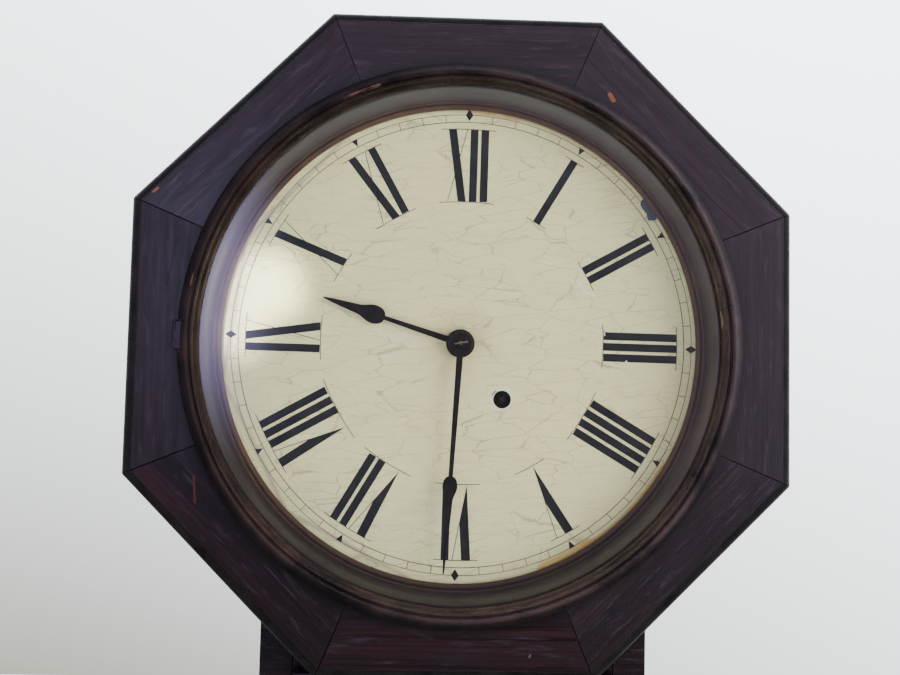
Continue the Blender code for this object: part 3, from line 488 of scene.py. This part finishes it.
def putty():
    paste = Surface("old_putty", roughness=0.85, specular=0.2)
    lumps = paste.clouds(260.0, 4.0, 0.6)
    base = paste.mix(paste.ramp(lumps, 0.35, 0.65), (0.3, 0.22, 0.12), (0.48, 0.4, 0.27))
    return paste.finish(base, None, lumps, 0.25, 0.6)


def studio_floor():
    floor = Surface("studio_floor", roughness=0.8, specular=0.2)
    soft = floor.clouds(1.5, 2.0)
    return floor.finish(floor.mix(soft, (0.7, 0.7, 0.69), (0.74, 0.74, 0.73)))


# ---- mesh helpers ----
def piece(name, points, faces, materials, body, spin=0.0, smooth=35.0):
    """One riding object from (x, depth, z) points; `spin` turns it clockwise about depth."""
    mesh = bpy.data.meshes.new(name)
    mesh.from_pydata([world(*point) for point in points], [], [face[:] for face in faces])
    mesh.update()
    for material in materials if isinstance(materials, (list, tuple)) else [materials]:
        mesh.materials.append(material)
    mesh.shade_smooth()
    mesh.set_sharp_from_angle(angle=math.radians(smooth))
    thing = bpy.data.objects.new(name, mesh)
    thing.rotation_euler = (0.0, math.radians(spin), 0.0)
    bpy.context.scene.collection.objects.link(thing)
    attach(thing, body)
    return thing


def outward(thing):
    """Turns a closed mesh's faces outwards."""
    shell = bmesh.new()
    shell.from_mesh(thing.data)
    bmesh.ops.recalc_face_normals(shell, faces=shell.faces)
    shell.to_mesh(thing.data)
    shell.free()
    return thing


def arc(centre, radius, start, end, count=6):
    """Profile points on an arc; angles in degrees, 0 outwards and 90 to the front."""
    angles = [math.radians(start + (end - start) * i / count) for i in range(count + 1)]
    return [(centre[0] + radius * math.cos(a), centre[1] + radius * math.sin(a)) for a in angles]


def bridge(rings):
    """Faces between neighbouring closed rings of point numbers; a ring of one is an apex."""
    faces = []
    for low, high in zip(rings, rings[1:]):
        for i in range(max(len(low), len(high))):
            corners = [ring[k % len(ring)] for ring, k in ((low, i), (low, i + 1), (high, i + 1),
                                                           (high, i))]
            faces.append(tuple(dict.fromkeys(corners)))
    return faces


def lathe(name, profile, material, body, steps=FINE, centre=(0.0, 0.0), closed=True, axis="depth",
          smooth=35.0):
    """A turned piece from (radius, height) points."""
    points = []
    rings = []
    for radius, height in profile:
        first = len(points)
        for step in range(steps if radius > 1e-6 else 1):
            angle = 2 * math.pi * step / steps
            a, b = radius * math.sin(angle), radius * math.cos(angle)
            if axis == "depth":
                points.append((centre[0] + a, height, centre[1] + b))
            else:
                points.append((centre[0] + a, centre[1] + b, height))
        rings.append(list(range(first, len(points))))
    faces = bridge(rings + rings[:1] if closed else rings)
    return outward(piece(name, points, faces, material, body, smooth=smooth))


def slab(outlines, start, end, points, faces):
    """Adds a flat solid, an outline with holes, to lists of points and faces."""
    loops = []
    for height in (start, end):
        rings = []
        for outline in outlines:
            first = len(points)
            points.extend((x, height, z) for x, z in outline)
            rings.append(list(range(first, len(points))))
        loops.append(rings)
    for pair in zip(*loops):
        faces.extend(bridge(pair))
    triangles = tessellate_polygon([[Vector((x, z, 0.0)) for x, z in outline] for outline in outlines])
    for rings in loops:
        flat = [index for ring in rings for index in ring]
        faces.extend(tuple(flat[i] for i in triangle) for triangle in triangles)


def flat_piece(name, shapes, start, end, material, body, spin=0.0, bevel=0.0):
    """Flat solids, each a list of outlines (outer first), as one piece."""
    points = []
    faces = []
    for outlines in shapes:
        slab(outlines, start, end, points, faces)
    thing = outward(piece(name, points, faces, material, body, spin))
    if bevel:
        soften(thing, bevel)
    return thing


def soften(thing, width, segments=2, angle=30.0):
    modifier = thing.modifiers.new("edges", "BEVEL")
    modifier.width = width * MM
    modifier.segments = segments
    modifier.limit_method = "ANGLE"
    modifier.angle_limit = math.radians(angle)


def circle(radius, steps, centre=(0.0, 0.0)):
    angles = [2 * math.pi * step / steps for step in range(steps)]
    return [(centre[0] + radius * math.sin(a), centre[1] + radius * math.cos(a)) for a in angles]


def turned_by(outline, degrees):
    """An outline turned clockwise about the dial's middle."""
    c, s = math.cos(math.radians(degrees)), math.sin(math.radians(degrees))
    return [(x * c + z * s, -x * s + z * c) for x, z in outline]


def paint_node(node, material):
    """Gives a CAD node a better material."""
    for slot in frame["nodes"][node].material_slots:
        slot.material = material


# ---- octagon ----
def octagon_section():
    """Outer moulding of a segment: (distance from the middle, depth), front to back."""
    edge = OCTAGON_EDGE
    section = [(edge - EDGE_WIDTH, OCTAGON_FRONT)]
    section += arc((edge - EDGE_WIDTH, OCTAGON_FRONT - 0.9), 0.9, 80, 10, 3)
    section += arc((edge - 5.6, OCTAGON_FRONT - 6.6), 5.6, 88, 0, 9)
    section += [(edge, OCTAGON_BACK + 9.0)]
    section += arc((edge - 1.2, OCTAGON_BACK + 1.2), 1.2, 0, -90, 3)
    return section


def octagon_segment(name, index, materials, stations=28):
    """A mitred board with a moulded outer edge and the round hole's share of its inner edge."""
    half = math.radians(22.5)
    section = octagon_section()
    face_end = OCTAGON_EDGE - EDGE_WIDTH
    slant = MITRE_GAP / math.cos(half)
    points = []
    for station in range(stations + 1):
        share = 2 * station / stations - 1
        angle = share * (half - MITRE_GAP / HOLE_R)
        inner = (HOLE_R * math.cos(angle), HOLE_R * math.sin(angle))
        rows = [(*inner, OCTAGON_BACK), (*inner, OCTAGON_FRONT)]
        for part in (0.25, 0.5, 0.75):
            reach = inner[0] * (1 - part) + face_end * part
            along = inner[1] * (1 - part) + part * share * (face_end * math.tan(half) - slant)
            rows.append((reach, along, OCTAGON_FRONT))
        rows += [(reach, share * (reach * math.tan(half) - slant), depth) for reach, depth in section]
        points.extend((along, depth, reach) for reach, along, depth in rows)
    count = len(points) // (stations + 1)
    rings = [tuple(range(k * count, (k + 1) * count)) for k in range(stations + 1)]
    faces = [rings[0], rings[-1]] + bridge(rings)
    board = outward(piece("wood_" + name, points, faces, materials, "case", spin=45.0 * index))
    edge_start = (OCTAGON_EDGE - 7.6) * MM
    for polygon in board.data.polygons:
        if min(board.data.vertices[v].co.z for v in polygon.vertices) > edge_start:
            polygon.material_index = 1
    soften(board, 0.35, 2, 50.0)
    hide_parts(name)


def make_octagon():
    """Scars are along each board: (run of points, radius, colour) in the board's own frame."""
    edge = black_edge()
    bare, stain, dark = (0.115, 0.036, 0.014), (0.042, 0.008, 0.008), (0.0006, 0.0006, 0.0006)
    scars = {
        "octagon_upper_right": [([(-17.0, 168.9), (10.0, 169.6), (40.0, 169.0), (74.0, 170.4)],
                                 0.22, dark),
                                ([(-46.5, 169.3), (-42.5, 168.4)], 1.1, bare)],
        "octagon_upper_left": [([(-71.0, 192.4), (-68.0, 192.0)], 0.7, bare),
                               ([(20.0, 171.5), (52.0, 172.4)], 0.16, dark)],
        "octagon_lower_left": [([(52.0, 168.5), (40.0, 178.5)], 0.35, stain)],
        "octagon_left": [([(58.0, 171.0), (30.0, 176.0)], 0.15, dark)],
        "octagon_bottom": [([(-44.0, 183.0), (-43.6, 184.0)], 0.4, (0.05, 0.04, 0.04))],
    }
    # the third number, shine, is set lower on the bottom, lower left and left boards and higher on the
    # right ones: their sheen paints the light falling unevenly on the octagon
    boards = (("top", 0.15, 0.58), ("upper_right", 0.45, 0.63), ("right", 0.7, 0.64),
              ("lower_right", 0.9, 0.58), ("bottom", 1.3, 0.27), ("lower_left", 0.8, 0.26),
              ("left", 0.25, 0.38), ("upper_left", 0.2, 0.56))
    for index, (name, red, shine) in enumerate(boards):
        node = "octagon_" + name
        mitres = [([(side * 67.5, HOLE_R), (side * 82.7, 199.6)], 0.12, dark) for side in (-1, 1)]
        wood = stained_wood("stained_" + name, scars.get(node, []) + mitres, 0.0, red,
                            3.7 * index, shine)
        octagon_segment(node, index, [wood, edge])


# ---- bezel ----
def bezel_profile():
    """Turned ring: worn inner cove, bead, fine groove, crest, and a long outer slope."""
    back = BEZEL_BACK
    profile = [(161.3, back), (161.3, 106.0), (157.8, 106.0), (157.8, 107.6)]
    profile += arc((157.3, 110.6), 2.1, -60, 30, 5)
    profile += arc((160.0, 112.7), 0.75, 170, 20, 6)
    profile += [(161.0, 112.7), (161.35, 112.95)]
    profile += arc((162.5, 114.6), 1.28, 165, 50, 6)
    profile += [(164.2, 114.9), (165.6, 113.9), (166.9, 112.9)]
    profile += arc((167.4, 111.6), 0.98, 70, 0, 4)
    return profile + [(BEZEL_R, 110.4), (162.4, 110.4), (162.4, back)]


def make_bezel():
    ring = lathe("bezel_ring_turned", bezel_profile(), bezel_wood(), "bezel_door", smooth=50.0)
    cut_notches(ring)
    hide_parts("bezel_ring")
    glass = bezel_glass()
    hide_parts("bezel_glass")
    paste = lathe("bezel_putty_bead", [(159.2, 103.4), (160.0, 102.9), (160.95, 102.4),
                                       (161.1, 103.4)], putty(), "bezel_door")
    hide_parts("bezel_putty")
    bright = spun_brass("worn_brass_edge", (0.095, 0.054, 0.034), (0.032, 0.018, 0.014),
                        (0.06, 0.031, 0.02))
    lip = [(157.5, 105.95), (157.5, 106.5), (157.75, 106.9), (157.85, 106.0)]
    edge = lathe("bezel_glass_edging", lip, bright, "bezel_door")


def bezel_glass():
    """A flat pane with a ground edge."""
    profile = [(0.0, GLASS_BACK), (GLASS_R - 0.5, GLASS_BACK), (GLASS_R, GLASS_BACK + 0.5),
               (GLASS_R, GLASS_FRONT - 0.5), (GLASS_R - 0.5, GLASS_FRONT), (0.0, GLASS_FRONT)]
    return lathe("bezel_pane", profile, clear_glass("pane_glass"), "bezel_door", closed=False)


def cut_notches(ring):
    """The hinge's recess at nine o'clock and the thumb notch just above three."""
    hinge = tool("bezel_hinge_recess", [(-174.0, -9.8), (-174.0, 9.8), (-161.5, 9.8),
                                        (-161.5, -9.8)], 109.0, 113.8)
    angle = math.radians(84.0)
    centre = (151.6 * math.sin(angle), 151.6 * math.cos(angle))
    thumb = tool("bezel_thumb_recess", [(centre[0] + 8.0 * x, centre[1] + 10.5 * z)
                                        for x, z in circle(1.0, 40)], 104.0, 109.6)
    for cutter in (hinge, thumb):
        modifier = ring.modifiers.new(cutter.name, "BOOLEAN")
        modifier.operation = "DIFFERENCE"
        modifier.object = cutter
    bake(ring)
    for cutter in (hinge, thumb):
        bpy.data.objects.remove(cutter)


def tool(name, outline, start, end):
    points = []
    faces = []
    slab([outline], start, end, points, faces)
    mesh = bpy.data.meshes.new(name)
    mesh.from_pydata([world(*point) for point in points], [], faces)
    thing = bpy.data.objects.new(name, mesh)
    bpy.context.scene.collection.objects.link(thing)
    return outward(thing)


def bake(thing):
    """Replaces a piece's mesh by what its modifiers make of it."""
    graph = bpy.context.evaluated_depsgraph_get()
    mesh = bpy.data.meshes.new_from_object(thing.evaluated_get(graph))
    thing.modifiers.clear()
    thing.data = mesh
    mesh.shade_smooth()
    mesh.set_sharp_from_angle(angle=math.radians(40))


def make_sight_ring():
    """A spun brass ring: rolled bead on the dial, steep wall, thin flange behind the glass."""
    back, front = SIGHT_BACK, SIGHT_FRONT
    profile = arc((151.5, back + 2.1), 2.1, 265, 80, 12)
    profile += arc((153.9, back + 3.7), 0.9, 225, 60, 7)
    profile += [(154.6, back + 4.9), (155.2, back + 8.0), (156.0, back + 13.0),
                (157.2, front - 1.4)]
    profile += arc((158.3, front - 1.3), 1.0, 180, 90, 4)
    profile += [(SIGHT_R - 0.2, front - 0.3), (SIGHT_R, front - 0.5), (SIGHT_R - 0.2, front - 0.8)]
    profile += arc((158.4, front - 1.4), 0.55, 90, 180, 3)
    profile += [(156.6, back + 10.0), (155.9, back + 4.0), (154.8, back + 0.6)]
    ring = lathe("sight_ring_spun", profile, sight_metal(), "case", smooth=60.0)
    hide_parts("sight_ring")


# ---- dial ----
STROKE = 5.0
HAIR = 0.52
GLYPH_GAP = 1.9
GLYPH_WIDTH = {"I": 5.0, "V": 11.8, "X": 12.4}
INNER_R, OUTER_R = 90.5, 137.4
NUMERALS = ("XII", "I", "II", "III", "IIII", "V", "VI", "VII", "VIII", "IX", "X", "XI")


def line(start, end, width):
    """A thin straight bar between two points."""
    dx, dz = end[0] - start[0], end[1] - start[1]
    length = math.hypot(dx, dz)
    nx, nz = -dz / length * width / 2, dx / length * width / 2
    return [(start[0] + nx, start[1] + nz), (end[0] + nx, end[1] + nz),
            (end[0] - nx, end[1] - nz), (start[0] - nx, start[1] - nz)]


def glyph(letter, left):
    """Thick and hairline strokes of one letter, upright, its feet at INNER_R."""
    low, high = INNER_R, OUTER_R
    if letter == "I":
        return [[(left, low), (left, high), (left + STROKE, high), (left + STROKE, low)]], []
    if letter == "X":
        slope = 7.2
        thick = [(left + slope, low), (left, high), (left + STROKE + 0.2, high),
                 (left + slope + STROKE + 0.2, low)]
        return [thick], [line((left + 0.7, low), (left + 12.2, high), HAIR)]
    tip = left + 3.6
    thick = [(tip, low), (left, high), (left + 5.7, high), (left + 7.6, low + 23.5)]
    return [thick], [line((left + 7.4, low + 23.0), (left + 11.5, high), HAIR)]


def numeral_shapes():
    """Thick strokes and hairlines of all twelve numerals, feet towards the middle."""
    thick = []
    hair = []
    for hour, letters in enumerate(NUMERALS):
        width = sum(GLYPH_WIDTH[letter] for letter in letters) + GLYPH_GAP * (len(letters) - 1)
        left = -width / 2
        strokes = []
        lines = []
        for letter in letters:
            bars, hairs = glyph(letter, left)
            strokes += bars
            lines += hairs
            left += GLYPH_WIDTH[letter] + GLYPH_GAP
        for radius in (INNER_R - HAIR / 2, OUTER_R + HAIR / 2):
            lines.append(serif(radius, width / 2 + 4.6))
        angle = hour * 30.0 + DIAL_TURN
        thick += [[turned_by(stroke, angle)] for stroke in strokes]
        hair += [[turned_by(stroke, angle)] for stroke in lines]
    return thick, hair


def serif(radius, half):
    """A hairline across the ends of the strokes, following the dial's curve."""
    count = 8
    edge = math.asin(half / radius)
    angles = [edge * (2 * i / count - 1) for i in range(count + 1)]
    bow = [(radius * math.sin(a), radius * (0.55 * math.cos(a) + 0.45)) for a in angles]
    return [(x, z + HAIR / 2) for x, z in bow] + [(x, z - HAIR / 2) for x, z in bow[::-1]]


def ring_shape(radius, width):
    return [circle(radius + width / 2, 240), circle(radius - width / 2, 240)]


def make_dial_print():
    """Numerals, minute track and hour marks, as a film of ink on the paint."""
    thick, hair = numeral_shapes()
    low, high = DIAL_FRONT + 0.01, DIAL_FRONT + 0.06
    black, thin = ink(), hairline_ink()
    track = [ring_shape(142.2, 0.52), ring_shape(147.0, 0.42)]
    for minute in range(60):
        if minute % 5:
            track.append([turned_by(line((0.0, 142.4), (0.0, 146.9), 0.45),
                                    minute * 6.0 + DIAL_TURN)])
    marks = []
    for hour in range(12):
        if hour % 3:
            mark = [(0.0, 142.4), (-2.1, 147.4), (2.1, 147.4)]
        else:
            mark = [(0.0, 143.0), (-2.45, 146.9), (0.0, 150.7), (2.45, 146.9)]
        marks.append([turned_by(mark, hour * 30.0 + DIAL_TURN)])
    for name, shapes, material in (("dial_numerals", thick, black), ("dial_hairlines", hair, thin),
                                   ("dial_track", track, thin), ("dial_hour_marks", marks, black)):
        moved = [[[(PRINT_MIDDLE[0] + x * PRINT_SCALE, PRINT_MIDDLE[1] + z * PRINT_SCALE)
                   for x, z in outline] for outline in shape] for shape in shapes]
        thing = flat_piece(name, moved, low, high, material, "case")


def make_dial():
    outlines = [circle(DIAL_R, FINE), circle(5.4, 48), circle(5.65, 48, WINDING)]
    plate = flat_piece("dial_plate", [outlines], DIAL_BACK, DIAL_FRONT, dial_paint(), "case")
    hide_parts("dial")
    make_dial_print()


# ---- hands ----
def hand_side(hub, shaft, neck, widest, foot, tip, half):
    """Right side of a spade hand pointing to twelve, from the hub to the tip."""
    side = [(shaft, hub * 0.8), (shaft * 0.66, neck)]
    for step in range(1, 9):
        angle = math.pi / 2 * step / 8
        side.append((shaft * 0.66 + (half - shaft * 0.66) * math.sin(angle),
                     widest - (widest - neck) * math.cos(angle)))
    for step in range(1, 8):
        share = step / 7
        ease = 0.5 - 0.5 * math.cos(math.pi * share)
        side.append((half * (1 - 0.5 * ease), widest + (foot - widest) * share))
    side += [(half * 0.36, foot + (tip - foot) * 0.35), (half * 0.24, foot + (tip - foot) * 0.7),
             (0.42, tip)]
    return side


def hand(name, node, body, angle, depths, sizes):
    side = hand_side(*sizes)
    outline = [(-x, z) for x, z in side] + side[::-1]
    blade = flat_piece(name, [[outline]], *depths, steel_blue, body, spin=angle, bevel=0.3)
    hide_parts(node)


def make_hands():
    hand("hour_hand_blade", "hour_hand", "hour_pipe", HOUR_ANGLE, (84.0, 85.0),
         (9.0, 2.0, 50.6, 57.6, 69.0, 91.0, 5.9))
    hand("minute_hand_blade", "minute_hand", "minute_arbor", MINUTE_ANGLE, (90.9, 91.8),
         (7.2, 2.05, 82.6, 88.8, 98.0, 142.0, 4.6))
    boss = [(2.85, 83.8), (8.6, 83.8), (9.0, 84.2), (9.0, 84.8), (8.6, 85.3), (6.9, 85.5),
            (6.0, 86.2), (2.85, 86.2)]
    hub = lathe("hour_hand_boss", boss, steel_blue, "hour_pipe", steps=72)
    dome = [(1.6, 90.6), (7.0, 90.6)] + arc((6.6, 91.2), 0.7, -40, 60, 4)
    dome += [(6.0, 92.1), (5.2, 91.95), (4.6, 92.1), (1.6, 92.1)]
    cap = lathe("minute_hand_boss", dome, steel_blue, "minute_arbor", steps=72)
    nut = [(1.3, 92.2), (4.0, 92.2), (4.3, 92.5), (4.0, 93.0), (3.0, 93.5), (2.2, 93.7),
           (1.3, 93.7)]
    collet = lathe("hand_collet_turned", nut, steel_blue, "minute_arbor", steps=48)
    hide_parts("hand_collet")
    pin = lathe("hand_taper_pin", [(0.0, -4.0), (0.45, -4.0), (0.7, 4.4), (0.0, 4.4)], plain_metal,
                "minute_arbor", steps=12, centre=(0.0, 93.9), closed=False, axis="z")
    pin.data.transform(Matrix.Rotation(math.radians(80.0), 4, "Y"))


# ---- drop case ----
def make_case():
    """The box's boards and frames keep their CAD meshes and take wood materials."""
    side = stained_wood("case_boards", turn=math.pi / 2, red=0.5, shine=0.3)
    for node in ("case_side_left", "case_side_right", "front_frame", "trunk_inner_frame"):
        paint_node(node, side)
    level = stained_wood("case_level_boards", red=0.5, seed=5.0, shine=0.3)
    for node in ("case_top", "case_bottom"):
        paint_node(node, level)
    for node, turn in (("case_slope_left", -0.82), ("case_slope_right", 0.82)):
        paint_node(node, stained_wood("stained_" + node, turn=turn, red=0.6, seed=2.0, shine=0.3))
    paint_node("back_board", plain_wood())
    paint_node("hanger_plate", plain_metal)


def inset(outline, distance):
    """A convex outline moved inwards by `distance` (points run clockwise)."""
    lines = []
    for (ax, az), (bx, bz) in zip(outline, outline[1:] + outline[:1]):
        length = math.hypot(bx - ax, bz - az)
        nx, nz = (bz - az) / length, -(bx - ax) / length
        lines.append((ax + nx * distance, az + nz * distance, bx - ax, bz - az))
    result = []
    for before, after in zip(lines[-1:] + lines[:-1], lines):
        cross = before[2] * after[3] - before[3] * after[2]
        along = ((after[0] - before[0]) * after[3] - (after[1] - before[1]) * after[2]) / cross
        result.append((before[0] + before[2] * along, before[1] + before[3] * along))
    return result


def door_outline():
    """Outer edge of the drop door, clockwise from its top left corner."""
    x = span("drop_door_frame", "x")[1]
    low, high = span("drop_door_frame", "z")
    frame_points = [v.co for v in frame["nodes"]["drop_door_frame"].data.vertices]
    foot = max(p.x for p in frame_points if p.z / MM < low + 0.2) / MM
    shoulder = min(p.z for p in frame_points if p.x / MM > x - 0.2) / MM
    return [(-x, high), (x, high), (x, shoulder), (foot, low), (-foot, low), (-x, shoulder)]


def make_drop_door():
    """A moulded frame round a pane, swept along the door's outline."""
    outline = door_outline()
    back, front = span("drop_door_frame", "depth")
    section = [(0.05, back + 0.1), (0.0, front - 3.0)]
    section += arc((2.4, front - 3.0), 2.4, 180, 100, 5)
    section += [(3.4, front - 0.2), (4.0, front - 1.0), (4.6, front - 1.1), (5.2, front - 0.4)]
    section += [(11.0, front - 0.4)]
    section += arc((11.6, front - 2.6), 2.2, 95, 10, 5)
    section += [(14.6, front - 3.6), (15.8, 85.8), (15.9, back + 0.1)]
    rings = [inset(outline, distance) for distance, depth in section]
    points = [(x, depth, z) for ring, (distance, depth) in zip(rings, section) for x, z in ring]
    count = len(outline)
    rows = [tuple(range(k * count, (k + 1) * count)) for k in range(len(section))]
    faces = bridge(rows + rows[:1])
    wood = stained_wood("stained_drop_door", red=0.5, seed=9.0)
    door = outward(piece("drop_door_moulding", points, faces, wood, "drop_door", smooth=28.0))
    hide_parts("drop_door_frame")
    pane = flat_piece("drop_door_pane", [[inset(outline, 16.3)]], 83.0, 85.0,
                      clear_glass("drop_pane_glass"), "drop_door", bevel=0.3)
    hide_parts("drop_door_glass")
    knob = [(0.0, 90.2), (3.4, 90.2), (3.3, 91.0), (2.2, 91.7), (1.7, 93.2), (1.9, 95.2),
            (3.4, 96.6)]
    knob += arc((2.9, 98.8), 1.9, -50, 60, 7) + [(2.2, 101.5), (0.0, 101.9)]
    x, z = sum(span("drop_door_knob", "x")) / 2, sum(span("drop_door_knob", "z")) / 2
    turned = lathe("drop_door_knob_turned", knob, aged_brass, "drop_door", steps=40, centre=(x, z),
                   closed=False)
    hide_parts("drop_door_knob")


# ---- movement and pendulum ----
def make_movement():
    """Wheels, plates, arbors and hinges keep their CAD meshes and take metal materials."""
    tarnished = spun_brass("tarnished_fittings", (0.11, 0.085, 0.05), (0.035, 0.027, 0.02),
                           (0.07, 0.04, 0.025))
    blackened = spun_brass("blackened_hinge", (0.06, 0.05, 0.064), (0.034, 0.029, 0.036),
                           (0.04, 0.03, 0.036))
    for node in frame["nodes"]:
        if node.startswith("winding_arbor"):
            paint_node(node, steel_blue)
        elif node.startswith(("movement_pillar", "click", "mainspring", "pallets",
                            "crutch", "suspension")):
            paint_node(node, plain_metal)
        elif node.startswith("bezel_hinge"):
            paint_node(node, blackened)
        elif "hinge" in node:
            paint_node(node, tarnished)
        elif node.startswith("movement_"):
            paint_node(node, tarnished)
        elif node.startswith("pendulum_cock") or node.endswith(("wheel", "pinion")):
            paint_node(node, aged_brass)


def make_pendulum():
    """A lens bob with a rolled rim, its rod, and a milled rating nut."""
    low, high = span("pendulum_bob", "z")
    bob_z, bob_r = (low + high) / 2, span("pendulum_bob", "x")[1]
    back, front = span("pendulum_bob", "depth")
    middle, half = (back + front) / 2, (front - back) / 2
    shares = [step / 14 * 0.93 for step in range(1, 15)]
    lens = [(bob_r * share, half * math.cos(math.pi / 2 * share)) for share in shares]
    profile = [(0.0, back)] + [(radius, middle - rise) for radius, rise in lens]
    profile += arc((bob_r - 1.0, middle), 1.0, -70, 70, 6)
    profile += [(radius, middle + rise) for radius, rise in lens[::-1]] + [(0.0, front)]
    brass = spun_brass("bob_brass", (0.55, 0.38, 0.16), (0.3, 0.19, 0.075), (0.42, 0.26, 0.1),
                       (0.0, bob_z))
    bob = lathe("pendulum_bob_lens", profile, brass, "pendulum", steps=128, centre=(0.0, bob_z),
                closed=False)
    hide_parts("pendulum_bob")
    low, high = span("pendulum_rod", "z")
    rod = [(0.0, high), (2.3, high), (2.6, high - 0.4), (2.6, 38.4), (1.3, 36.5), (1.3, low + 0.5),
           (0.9, low), (0.0, low)]
    wire = lathe("pendulum_rod_drawn", rod, plain_metal, "pendulum", steps=24, centre=(0.0, middle),
                 closed=False, axis="z")
    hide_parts("pendulum_rod")
    low, high = span("rating_nut", "z")
    points = []
    faces = []
    teeth = zip(circle(4.7, 48), circle(4.35, 48))
    outline = [pair[i % 2] for i, pair in enumerate(teeth)]
    slab([outline, circle(1.65, 24)], low, high, points, faces)
    points = [(x, z + middle, height) for x, height, z in points]
    nut = outward(piece("rating_nut_milled", points, faces, aged_brass, "rating_nut_body"))
    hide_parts("rating_nut")


# ---- stage ----
def make_camera():
    """A phone's view from just below and left of the dial's middle."""
    away = 478.6
    eye = Vector((-16.1, -(DIAL_FRONT + away), -18.8)) * MM
    forward = Vector((0.0199, 0.9987, 0.0471)).normalized()
    painted_light_height = Vector((-0.0234, -0.0466, 0.9987))
    right = forward.cross(painted_light_height).normalized()
    painted_light_height = right.cross(forward)
    data = bpy.data.cameras.new("camera")
    data.sensor_width = 36.0
    data.lens = 30.2
    data.clip_start = 0.01
    camera = bpy.data.objects.new("camera", data)
    axes = Matrix((right, painted_light_height, -forward)).transposed()
    camera.matrix_world = Matrix.Translation(eye) @ axes.to_4x4()
    bpy.context.scene.collection.objects.link(camera)
    bpy.context.scene.camera = camera


def area_light(name, place, target, size, power, colour=(1.0, 1.0, 1.0)):
    data = bpy.data.lights.new(name, "AREA")
    data.shape = "RECTANGLE"
    data.size, data.size_y = size
    data.color = colour
    return aimed(data, place, target, power)


def spot_light(name, place, target, degrees, power):
    """A small soft patch of light that the glass does not mirror."""
    data = bpy.data.lights.new(name, "SPOT")
    data.spot_size = math.radians(degrees)
    data.spot_blend = 1.0
    data.shadow_soft_size = 0.01
    light = aimed(data, place, target, power)
    light.visible_glossy = False


def aimed(data, place, target, power):
    """Puts a lamp in the scene, facing its target."""
    data.energy = power
    light = bpy.data.objects.new(data.name, data)
    light.location = place
    light.rotation_euler = (Vector(target) - Vector(place)).to_track_quat("-Z", "Y").to_euler()
    bpy.context.scene.collection.objects.link(light)
    return light


def make_stage():
    """Pale floor well below the clock, soft room light, and a window that the glass mirrors."""
    wide, near, far, drop = 5.0, -5.0, 1.9, -1.0
    mesh = bpy.data.meshes.new("floor")
    mesh.from_pydata([(-wide, near, drop), (wide, near, drop), (wide, far, drop),
                      (-wide, far, drop)], [], [(0, 1, 2, 3)])
    mesh.materials.append(studio_floor())
    floor = bpy.data.objects.new("floor", mesh)
    bpy.context.scene.collection.objects.link(floor)
    floor.visible_glossy = False
    soften_light(area_light("window", (-0.8, -2.1, 0.26), (-0.78, 0.0, 0.26), (0.64, 1.25), 12.5,
                            (0.58, 0.53, 1.0)))
    for name, x, z, degrees, power in (("glow_upper", -124.0, 33.0, 2.4, 620.0),
                                       ("glow_lower", -140.0, 4.0, 1.7, 420.0)):
        spot_light(name, world(-330.0, 1500.0, 200.0), world(x, DIAL_FRONT, z), degrees, power)
    for name, place, power in (("key_right", (1.75, -1.45, 0.25), 85.0),
                               ("key_left", (-1.75, -1.35, 0.2), 17.0),
                               ("bounce", (0.1, -1.2, -0.9), 5.0)):
        light = area_light(name, place, (0.0, 0.0, 0.0), (1.5, 1.5), power)
        light.visible_glossy = False
    make_sky()


def soften_light(light):
    """Lets an area light fade towards its edges."""
    light.data.use_nodes = True
    nodes = Nodes(light.data.node_tree)
    across = nodes.add("ShaderNodeSeparateXYZ")
    nodes.put(across.inputs["Vector"], nodes.add("ShaderNodeNewGeometry").outputs["Parametric"])
    fades = [nodes.ramp(nodes.math("PINGPONG", across.outputs[axis], 0.5), 0.0, 0.42,
                        kind="SMOOTHSTEP") for axis in ("X", "Y")]
    emission = nodes.tree.nodes["Emission"]
    nodes.put(emission.inputs["Strength"], nodes.math("MULTIPLY", *fades))


def make_sky():
    """A bright pale wall of sky behind the clock, and a dimmer room in front of it."""
    sky = bpy.data.worlds.new("sky")
    sky.use_nodes = True
    nodes = Nodes(sky.node_tree)
    place = nodes.add("ShaderNodeTexCoord").outputs["Generated"]

    def toward(direction, low, high):
        return nodes.ramp(nodes.vector("DOT_PRODUCT", place, direction, "Value"), low, high)

    wall = nodes.mix(toward((0.35, 0.0, 0.94), -0.5, 0.55), (0.57, 0.56, 0.46), (4.9, 5.3, 5.6))
    upper = nodes.mix(toward((1.0, 0.0, 0.0), -0.35, 0.45), (0.42, 0.36, 0.54), (0.95, 0.78, 1.0))
    room = nodes.mix(toward((0.0, 0.0, 1.0), -0.4, -0.05), (0.09, 0.075, 0.08), upper)
    room = nodes.mix(toward((0.0, -1.0, 0.0), 0.9, 0.97), room, (0.22, 0.22, 0.25))
    colour = nodes.mix(toward((0.0, 1.0, 0.0), 0.0, 0.35), room, wall)
    nodes.put(nodes.tree.nodes["Background"].inputs["Color"], colour)
    bpy.context.scene.world = sky


aged_brass = spun_brass("aged_brass", (0.48, 0.33, 0.14), (0.25, 0.16, 0.065), (0.33, 0.2, 0.08))
steel_blue = blued_steel()
plain_metal = plain_steel()

make_camera()
make_stage()
make_octagon()
make_bezel()
make_sight_ring()
make_dial()
make_hands()
make_case()
make_drop_door()
make_movement()
make_pendulum()
